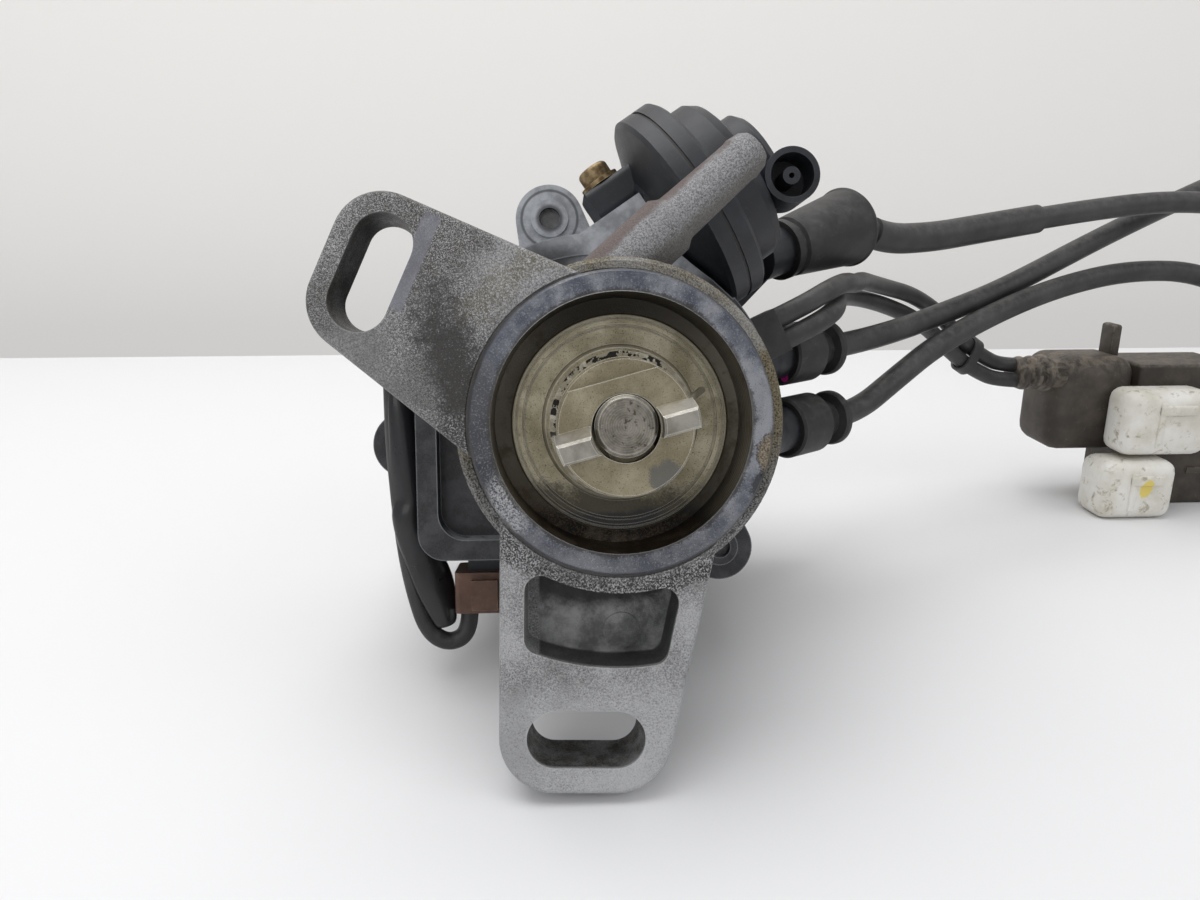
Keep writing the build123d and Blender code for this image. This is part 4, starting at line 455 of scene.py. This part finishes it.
def turned_steel(name, dark, light, rough, pits=0.5, worn=0.0):
    """Plain steel off the lathe, with oil on it."""
    f = Finish(name)
    x, y, _ = f.own_frame()
    radius = distance(x, y)
    cloud, grain = f.noise(160, 4, 0.6), f.noise(1900, 3, 0.6)
    lathe = (radius * 17).wave() * 0.5 + 0.5
    colour = f.mix(cloud.rise(0.36, 0.66), dark, light)
    colour = f.mix(grain.rise(0.42, 0.30) * pits, colour, tuple(c * 0.3 for c in dark))
    if worn:
        colour = f.mix(f.edges(0.25) * worn, colour, (0.72, 0.70, 0.65))
    return f.done(colour, rough + grain * 0.16, 0.92, lathe * 0.5 + grain * 0.5, 0.00008, 0.55)


def shiny_steel():
    return turned_steel("bearing_steel", (0.40, 0.40, 0.41), (0.60, 0.60, 0.61), 0.22)


def shaft_steel():
    """The shaft's end: olive grey, pitted, with fine rings and a bright worn rim."""
    f = Finish("shaft_steel")
    x, y, z = f.own_frame()
    radius = distance(x, y)
    cloud, grain, spots = f.noise(300, 4, 0.65), f.noise(2400, 3, 0.7), f.noise(900, 3, 0.6)
    lathe = (radius * 15).wave() * 0.5 + 0.5
    colour = f.mix(cloud.rise(0.34, 0.66), (0.13, 0.118, 0.096), (0.27, 0.25, 0.215))
    colour = f.mix(lathe * 0.25, colour, (0.36, 0.34, 0.30))
    colour = f.mix(spots.rise(0.40, 0.33) * 0.75, colour, (0.045, 0.035, 0.022))
    colour = f.mix(grain.rise(0.60, 0.75) * 0.4, colour, (0.52, 0.50, 0.45))
    colour = f.mix(f.edges(0.35) * 0.75, colour, (0.66, 0.64, 0.58))
    # painted shade on the shaft's side below its end face, down in the ring's hole
    colour = f.mix(z.rise(9.0, 8.2) * 0.8, colour, (0.035, 0.03, 0.022))
    return f.done(colour, 0.30 + grain * 0.2, 0.88, lathe * 0.5 + grain * 0.4 + spots * 0.4, 0.0001, 0.6)


def spring_steel():
    """A pale band whose dark oxide is left only in patches at the upper left."""
    f = Finish("spring_steel")
    x, y, _ = f.own_frame()
    cloud, grain, spots = f.noise(420, 4, 0.6), f.noise(2100, 3), f.noise(650, 3, 0.6)
    upper = (y - x * 0.6).rise(2, 7)
    mottle = spots.rise(0.50, 0.46) * upper
    colour = f.mix(cloud.rise(0.42, 0.6), (0.30, 0.27, 0.205), (0.50, 0.47, 0.39))
    colour = f.mix(mottle * 0.97, colour, (0.012, 0.011, 0.012))
    tail = (x - 12).rise(0.5, 1.5) * y.rise(3, 4)
    colour = f.mix(tail * 0.85, colour, (0.05, 0.046, 0.042))
    colour = f.mix((1 - upper) * 0.45, colour, (0.16, 0.14, 0.095))
    return f.done(colour, 0.3 + grain * 0.2, 0.8, grain, 0.00006, 0.4)


def bronze():
    return turned_steel("bronze", (0.34, 0.22, 0.11), (0.50, 0.35, 0.19), 0.3)


def brass():
    return turned_steel("brass", (0.52, 0.38, 0.16), (0.70, 0.54, 0.26), 0.24)


def aluminium_posts():
    return turned_steel("terminal_aluminium", (0.50, 0.50, 0.50), (0.66, 0.66, 0.67), 0.3)


def gold_zinc():
    """Yellow zinc, gone brown and dusty."""
    f = Finish("gold_zinc")
    cloud, grain = f.noise(420, 4), f.noise(2400, 3)
    colour = f.mix(cloud.rise(0.35, 0.65), (0.115, 0.072, 0.035), (0.36, 0.27, 0.15))
    colour = f.mix(f.edges(0.3) * 0.5, colour, (0.55, 0.44, 0.26))
    return f.done(colour, 0.36 + grain * 0.25, 0.8, grain, 0.00008, 0.5)


def moulded(name, dark, light, dusty, rough=0.42, dust=0.55, coat=0.0, worn=0.25, dab=None):
    """Moulded plastic: fine grain, handling marks, and dust on what faces up."""
    f = Finish(name)
    cloud, grain, smear = f.noise(85, 5, 0.6), f.noise(2300, 3, 0.6), f.noise(320, 5, 0.7, warp=0.6)
    colour = f.mix(cloud.rise(0.35, 0.68), dark, light)
    lying = f.dust(-0.15, 1.0) * smear.rise(0.36, 0.66) * dust
    colour = f.mix(lying, colour, dusty)
    colour = f.mix(smear.rise(0.60, 0.72) * 0.4, colour, dusty)
    scuffs = f.edges(0.4) * smear.rise(0.40, 0.60)
    colour = f.mix(scuffs * worn, colour, tuple(min(1, c * 2.2) for c in dusty))
    if dab:
        values = {0: f.here, 1: tuple(spot(*dab))}
        away = f.amount("VectorMath", {"operation": "DISTANCE"}, values, out="Value") / MM
        colour = f.mix((away + (smear - 0.5) * 1.2).rise(1.5, 1.1), colour, (0.50, 0.02, 0.24))
    roughness = rough + smear * 0.22 + lying * 0.15
    return f.done(colour, roughness, 0.0, grain * 0.6 + smear * 0.5, 0.00012, 0.45, coat)


def dark_plastic():
    dark, light, dusty = (0.007, 0.008, 0.011), (0.018, 0.020, 0.026), (0.075, 0.077, 0.088)
    return moulded("dark_plastic", dark, light, dusty, 0.36, 0.26)


# dark, light and dusty colour, roughness and dust
RUBBER = ((0.014, 0.013, 0.013), (0.032, 0.031, 0.031), (0.105, 0.10, 0.097), 0.46, 0.42)
PAINT_DAB = (50.1, 80.0, -8.6)


def black_rubber():
    return moulded("black_rubber", *RUBBER)


def marked_rubber():
    """The same rubber with one dab of magenta paint from the factory."""
    return moulded("marked_rubber", *RUBBER, dab=PAINT_DAB)


def rotor_plastic():
    return moulded("rotor_plastic", (0.13, 0.055, 0.03), (0.20, 0.09, 0.05), (0.25, 0.2, 0.16))


def red_brown_plastic():
    """A plug gone dull and dusty."""
    dark, light, dusty = (0.085, 0.042, 0.028), (0.155, 0.080, 0.055), (0.23, 0.16, 0.115)
    return moulded("red_brown_plastic", dark, light, dusty, 0.55, 0.8)


def brown_plastic():
    dark, light, dusty = (0.030, 0.024, 0.019), (0.070, 0.057, 0.045), (0.20, 0.17, 0.135)
    return moulded("brown_plastic", dark, light, dusty, 0.5, 0.8)


def carbon():
    return moulded("carbon", (0.03, 0.03, 0.03), (0.06, 0.06, 0.06), (0.08, 0.08, 0.08), 0.5)


def jacket(name, dark, light, rough, coat=0.0, dust=0.5):
    """The soft skin of a lead, handled and a little dusty."""
    f = Finish(name)
    cloud, smear, grain = f.noise(60, 4, 0.6), f.noise(420, 5, 0.7), f.noise(2600, 2)
    colour = f.mix(cloud.rise(0.35, 0.65), dark, light)
    lying = f.dust(-0.1, 1.0) * smear.rise(0.35, 0.7)
    colour = f.mix(lying * dust, colour, (0.13, 0.122, 0.118))
    return f.done(colour, rough + smear * 0.2, 0.0, smear + grain * 0.4, 0.0001, 0.3, coat)


def screw_steel():
    """Dull grey screw heads and tips, oiled and dirty, and made darker still as painted shade for the
    tips deep in the ear holes.
    """
    return turned_steel("screw_steel", (0.10, 0.10, 0.10), (0.20, 0.20, 0.205), 0.38, worn=0.4)


MARKER_DAB = (192.5, 129, -59.5)


def white_nylon():
    """Old white nylon with grease in its corners and one dab of yellow marker."""
    f = Finish("white_nylon")
    cloud, smear, grain = f.noise(70, 5, 0.6), f.noise(260, 5, 0.7, warp=0.5), f.noise(1800, 3)
    colour = f.mix(cloud.rise(0.35, 0.7), (0.78, 0.765, 0.72), (0.62, 0.59, 0.51))
    colour = f.mix(smear.rise(0.54, 0.70) * 0.85, colour, (0.30, 0.25, 0.17))
    values = {"Vector": f.here, "Location": tuple(-c for c in spot(*MARKER_DAB))}
    parts = f.node("SeparateXYZ", None, {0: f.node("Mapping", None, values).outputs[0]}).outputs
    x, z = Amount(f, parts[0]) / MM, Amount(f, parts[2]) / MM
    dab = (distance(x, z, spread=(5.0, 13.0)) + (smear - 0.5) * 1.6).rise(1.1, 0.8)
    colour = f.mix(dab * 0.9, colour, (0.74, 0.58, 0.10))
    return f.done(colour, 0.38 + smear * 0.2, 0.0, grain + smear, 0.0001, 0.3)


FINISHES = {
    "cast_aluminium": cast_aluminium(),
    "plated_steel": plated_steel(),
    "bearing_steel": shiny_steel(),
    "shaft_steel": shaft_steel(),
    "spring_steel": spring_steel(),
    "bronze": bronze(),
    "brass": brass(),
    "terminal_aluminium": aluminium_posts(),
    "gold_zinc": gold_zinc(),
    "dark_plastic": dark_plastic(),
    "black_rubber": black_rubber(),
    "rotor_plastic": rotor_plastic(),
    "red_brown_plastic": red_brown_plastic(),
    "brown_plastic": brown_plastic(),
    "carbon": carbon(),
    "white_nylon": white_nylon(),
    "black_vinyl": jacket("black_vinyl", (0.020, 0.0195, 0.0195), (0.042, 0.041, 0.041), 0.40),
}
GLOSSY = jacket("glossy_sleeve", (0.004, 0.004, 0.005), (0.009, 0.009, 0.011), 0.20, 0.2, 0.06)

SPECIAL = {"cap_screws": screw_steel(), "plug_lead_boot_upper": marked_rubber()}

for entry in frame["record"]["subparts"]:
    piece = frame["nodes"][entry["node"]]
    piece.data.materials.clear()
    piece.data.materials.append(SPECIAL.get(entry["node"]) or FINISHES[entry["material_slot"]])


# ---------------------------------------------------------------- pieces finished one by one
def piece(name, shape, finish, slot, instead):
    """Turns a bmesh into a smooth piece on the housing, in place of the nodes that it finishes."""
    bmesh.ops.recalc_face_normals(shape, faces=shape.faces)
    data = bpy.data.meshes.new(name)
    shape.to_mesh(data)
    shape.free()
    data.shade_smooth()
    data.materials.append(finish)
    made = bpy.data.objects.new(name, data)
    bpy.context.collection.objects.link(made)
    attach(made, "housing")
    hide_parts(*instead)
    return made


def rounded_box(shape, low, high, radius, segments=4):
    """A box with round edges, between two corners in millimetres."""
    low, high = spot(*low), spot(*high)
    size, middle = high - low, (low + high) / 2
    place = Matrix.Translation(middle) @ Matrix.Diagonal((*size, 1))
    box = bmesh.ops.create_cube(shape, size=1, matrix=place)
    edges = {edge for corner in box["verts"] for edge in corner.link_edges}
    bmesh.ops.bevel(
        shape,
        geom=list(edges),
        offset=radius * MM,
        segments=segments,
        affect="EDGES",
        profile=0.5,
        material=-1,
    )


SLEEVE_CORNERS = 24
CREASE = slice(4, 8)           # the corners of each ring that are pressed in
CREASE_DEPTH = 0.16            # as a share of the way to the middle
# across, back, up; half width, half thickness; and the turn of its flat side in degrees
SLEEVE_STATIONS = [
    (-48.3, 48.2, -2.0, 2.9, 2.8, 0),
    (-48.2, 46.6, -9.0, 3.3, 2.8, 6),
    (-47.9, 45.0, -17.0, 3.6, 2.7, 14),
    (-47.6, 43.4, -25.0, 3.8, 2.5, 22),
    (-47.4, 42.3, -29.5, 3.7, 1.9, 30),
    (-47.5, 42.0, -31.5, 4.1, 2.9, 16),
    (-47.0, 41.4, -35.5, 4.3, 3.1, 8),
    (-44.7, 40.2, -41.5, 5.2, 3.0, -6),
    (-42.9, 39.4, -45.5, 5.7, 2.9, -12),
    (-41.6, 38.7, -49.5, 5.6, 2.8, -14),
    (-40.3, 38.1, -53.5, 4.7, 2.7, -10),
    (-39.2, 37.6, -57.5, 3.3, 2.5, 0),
    (-38.9, 37.4, -59.0, 2.5, 2.3, 0),
]


def pickup_sleeve():
    """A soft vinyl sleeve, flattened and creased where it bends beside the bowl."""
    shape = bmesh.new()
    places = [spot(*station[:3]) for station in SLEEVE_STATIONS]
    rings = []
    for i, (*_, width, thickness, turn) in enumerate(SLEEVE_STATIONS):
        along = (places[min(i + 1, len(places) - 1)] - places[max(i - 1, 0)]).normalized()
        side = Vector((1, 0, 0)).cross(along).cross(along) * -1
        turned = Matrix((side, along.cross(side), along)).transposed().to_4x4()
        size = Matrix.Diagonal((width * MM, thickness * MM, 1, 1))
        place = Matrix.Translation(places[i]) @ turned @ Matrix.Rotation(radians(turn), 4, "Z") @ size
        ring = bmesh.ops.create_circle(
            shape,
            cap_ends=False,
            segments=SLEEVE_CORNERS,
            radius=1,
            matrix=place,
        )["verts"]
        for corner in ring[CREASE]:
            corner.co += (places[i] - corner.co) * CREASE_DEPTH
        rings.append([edge for edge in shape.edges if edge.verts[0] in ring and edge.verts[1] in ring])
    for lower, upper in zip(rings, rings[1:]):
        bmesh.ops.bridge_loops(shape, edges=lower + upper)
    bmesh.ops.holes_fill(shape, edges=rings[0] + rings[-1], sides=0)
    made = piece("pickup_sleeve_soft", shape, GLOSSY, "black_vinyl", ["pickup_sleeve"])
    smooth = made.modifiers.new("smooth", "SUBSURF")
    smooth.levels = smooth.render_levels = 2


# The connector's low and high corners, from the bench up.
SHELLS = {
    "lower": ((177, 129, BENCH / MM), (204, 146, BENCH / MM + 21)),
    "upper": ((183, 131, BENCH / MM + 22.5), (214, 146, BENCH / MM + 45.5)),
}
SHELL_ROUND = 4.4
LATCH_ROUND, SEAM_ROUND = 0.6, 0.5
HOOD = ((164.5, 146.2, BENCH / MM + 20.2), (195, 171.8, BENCH / MM + 54.4))
HOOD_ROUND = 6.5
HOOD_TAB = ((188.4, 155, BENCH / MM + 50), (191.8, 163, BENCH / MM + 65))
# where each part of the neck starts, its radius and its length
NECK_RINGS = ((154.5, 8.6, 12.5), (151.5, 9.6, 2.0), (155.5, 9.9, 2.0), (159.5, 10.6, 2.0))
NECK_FLATNESS = 0.66


def connector_shells():
    """Both white shells, well rounded, each with its latch rib and its seam."""
    for name, (low, high) in SHELLS.items():
        shape = bmesh.new()
        rounded_box(shape, low, high, SHELL_ROUND)
        third = (high[0] - low[0]) * 0.36
        latch_low = (low[0] + third, low[1] - 0.9, high[2] - 8.2)
        latch_high = (high[0] - third * 0.6, low[1] + 2, high[2] - 4.6)
        rounded_box(shape, latch_low, latch_high, LATCH_ROUND, 2)
        seam_low = (low[0] + third, low[1] - 0.7, low[2] + 3.6)
        seam_high = (low[0] + third + 2.2, low[1] + 2, high[2] - 3.6)
        rounded_box(shape, seam_low, seam_high, SEAM_ROUND, 2)
        slot = "white_nylon"
        piece(f"connector_shell_{name}_moulded", shape, FINISHES[slot], slot, [f"connector_shell_{name}"])


def connector_hood():
    """The dusty brown hood: a round-shouldered body with a ribbed neck where the cables go in."""
    shape = bmesh.new()
    rounded_box(shape, *HOOD, HOOD_ROUND, 5)
    rounded_box(shape, *HOOD_TAB, 1.0, 2)
    for reach, wide, long in NECK_RINGS:
        at = Matrix.Translation(spot(reach + long / 2, 150.7, -22.5)) @ Matrix.Rotation(pi / 2, 4, "Y")
        size = Matrix.Diagonal((NECK_FLATNESS, 1, 1, 1))
        bmesh.ops.create_cone(
            shape,
            cap_ends=True,
            segments=32,
            radius1=wide * 0.80 * MM,
            radius2=wide * 0.92 * MM,
            depth=long * MM,
            matrix=at @ size,
        )
    slot = "brown_plastic"
    piece("connector_hood_moulded", shape, FINISHES[slot], slot, ["connector_hood"])


pickup_sleeve()
connector_shells()
connector_hood()


# ---------------------------------------------------------------- cords
def cord(node, points, diameter):
    """A soft lead through its points, in place of the plain tube of its node."""
    curve = bpy.data.curves.new(node + "_line", "CURVE")
    curve.dimensions = "3D"
    curve.bevel_depth = diameter / 2 * MM
    curve.bevel_resolution = 8
    curve.resolution_u = 10
    curve.use_fill_caps = True
    line = curve.splines.new("NURBS")
    line.points.add(len(points) - 1)
    for at, point in zip(line.points, points):
        at.co = (*spot(*point), 1.0)
    line.order_u = 3
    line.use_endpoint_u = True
    made = bpy.data.objects.new(node + "_soft", curve)
    bpy.context.collection.objects.link(made)
    curve.materials.append(FINISHES["black_vinyl"])
    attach(made, "housing")
    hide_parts(node)


COIL_LEAD_ROUTE = [
    (62.2, 93.02, 28.65), (72.51, 100.6, 30.95), (86, 108, 26.5), (102, 114.5, 26.8),
    (122, 121.5, 29.3), (157, 132, 33.8), (190, 140.5, 36.8), (218, 146, 35.5), (240, 147, 27),
    (254, 143, 11), (262, 135, -9), (266, 125, -28), (269, 111, -44.5), (271, 95, -57),
    (272, 77, -63.73), (272, 60, -63.73),
]
PLUG_LEAD_UPPER_ROUTE = [
    (67.31, 95.89, -2.89), (75.51, 101.62, -2.9), (94, 112.5, -0.6), (110, 120.5, 3), (134, 132, 9),
    (172, 147, 24), (203, 156, 36), (230, 164, 45.5), (253, 169, 47), (272, 170, 38), (285, 167, 20),
    (293, 160, -4), (298, 149, -27), (301, 136, -45), (302, 120, -57.5), (302, 102, -63.73),
    (302, 85, -63.73),
]
PLUG_LEAD_LOWER_ROUTE = [
    (68.96, 91.69, -22.45), (77.16, 97.41, -22.45), (91, 105.5, -14.5), (106, 113, -5.5),
    (129, 122.5, 3.5), (154, 133, 10), (182, 143, 14), (211, 149.5, 13), (231, 150, 4), (243, 146, -12),
    (249, 137, -30), (251, 124, -46), (251.5, 108, -57.5), (251, 90, -63.73), (251, 73, -63.73),
]
HARNESS_CABLE_LOWER_ROUTE = [
    (44.23, 59.9, 5.06), (51.48, 60.61, 8.37), (58, 66, 11), (62, 76, 11.8), (65.5, 88, 11.2),
    (70, 101, 10.5), (79, 116, 9), (92, 127, 5.5), (106, 134, 0), (116.5, 139.5, -7),
    (125.5, 144, -14.5), (135, 147, -20.6), (145, 149.5, -25), (157, 149.5, -25),
]
HARNESS_CABLE_UPPER_ROUTE = [
    (41.87, 60.97, 10.02), (49.12, 61.68, 13.33), (56.5, 66, 16.6), (63.5, 75.5, 17.6), (70, 87, 15.9),
    (76, 100, 15.5), (83, 113, 13.5), (92, 124, 11), (105, 133.5, 7.4), (117.5, 140.5, 0.4),
    (128.1, 145.4, -9.7), (137.6, 148.4, -15.8), (146.5, 151.9, -20), (157, 151.9, -20),
]
PICKUP_LEAD_ROUTE = [
    (-49.8, 48.82, -1.29), (-49.8, 46.09, -14), (-49, 43.65, -26.77), (-47.9, 41.11, -39.52),
    (-46, 38.9, -50.3), (-43.2, 37.13, -59.94), (-38.2, 36.91, -63.37), (-33.2, 38.04, -60.95),
    (-33.2, 39.32, -54.99),
]

LEAD, HARNESS, PICKUP = 7.0, 5.2, 4.2      # diameters
cord("coil_lead", COIL_LEAD_ROUTE, LEAD)
cord("plug_lead_upper", PLUG_LEAD_UPPER_ROUTE, LEAD)
cord("plug_lead_lower", PLUG_LEAD_LOWER_ROUTE, LEAD)
loom_end = ["connector_block", "cable_tie"]
loom_end += [f"connector_{name}_moulded" for name in ("hood", "shell_lower", "shell_upper")]
cord("harness_cable_lower", HARNESS_CABLE_LOWER_ROUTE, HARNESS)
cord("harness_cable_upper", HARNESS_CABLE_UPPER_ROUTE, HARNESS)
cord("pickup_lead", PICKUP_LEAD_ROUTE, PICKUP)


# ---------------------------------------------------------------- bench, backdrop and light
def sheet(name, corners, finish):
    """One flat face of the stage."""
    shape = bmesh.new()
    shape.faces.new([shape.verts.new(corner) for corner in corners])
    shape.normal_update()
    data = bpy.data.meshes.new(name)
    shape.to_mesh(data)
    shape.free()
    made = bpy.data.objects.new(name, data)
    bpy.context.collection.objects.link(made)
    data.materials.append(finish)


sheet(
    "bench",
    [(-1.6, -1.2, BENCH), (1.6, -1.2, BENCH), (1.6, 0.47, BENCH), (-1.6, 0.47, BENCH)],
    Finish("bench_top").done((0.79, 0.79, 0.80), 0.6),
)
sheet(
    "backdrop",
    [(-3, 0.62, -1), (3, 0.62, -1), (3, 0.62, 2.2), (-3, 0.62, 2.2)],
    Finish("backdrop").done((0.87, 0.85, 0.825), 0.8),
)


def lamp(name, place, target, width, height, power):
    """A soft square light, aimed at a place. Metres and watts."""
    data = bpy.data.lights.new(name, "AREA")
    data.shape = "RECTANGLE"
    data.size, data.size_y = width, height
    data.energy = power
    made = bpy.data.objects.new(name, data)
    bpy.context.collection.objects.link(made)
    made.location = place
    made.rotation_mode = "QUATERNION"
    made.rotation_quaternion = (Vector(target) - Vector(place)).to_track_quat("-Z", "Y")


lamp("ceiling_light", (-0.25, 0.05, 1.25), (0, 0.05, 0), 1.1, 1.1, 11.6)
lamp("window_light", (1.0, -0.6, 0.75), (0, 0, 0), 0.8, 0.8, 2.5)
lamp("front_light", (-0.6, -1.1, 0.7), (0, 0, 0), 0.9, 0.9, 3.4)
world = bpy.data.worlds.new("room")
bpy.context.scene.world = world
world.use_nodes = True
world.node_tree.nodes["Background"].inputs["Color"].default_value = (0.97, 0.985, 1.0, 1.0)
world.node_tree.nodes["Background"].inputs["Strength"].default_value = 0.47
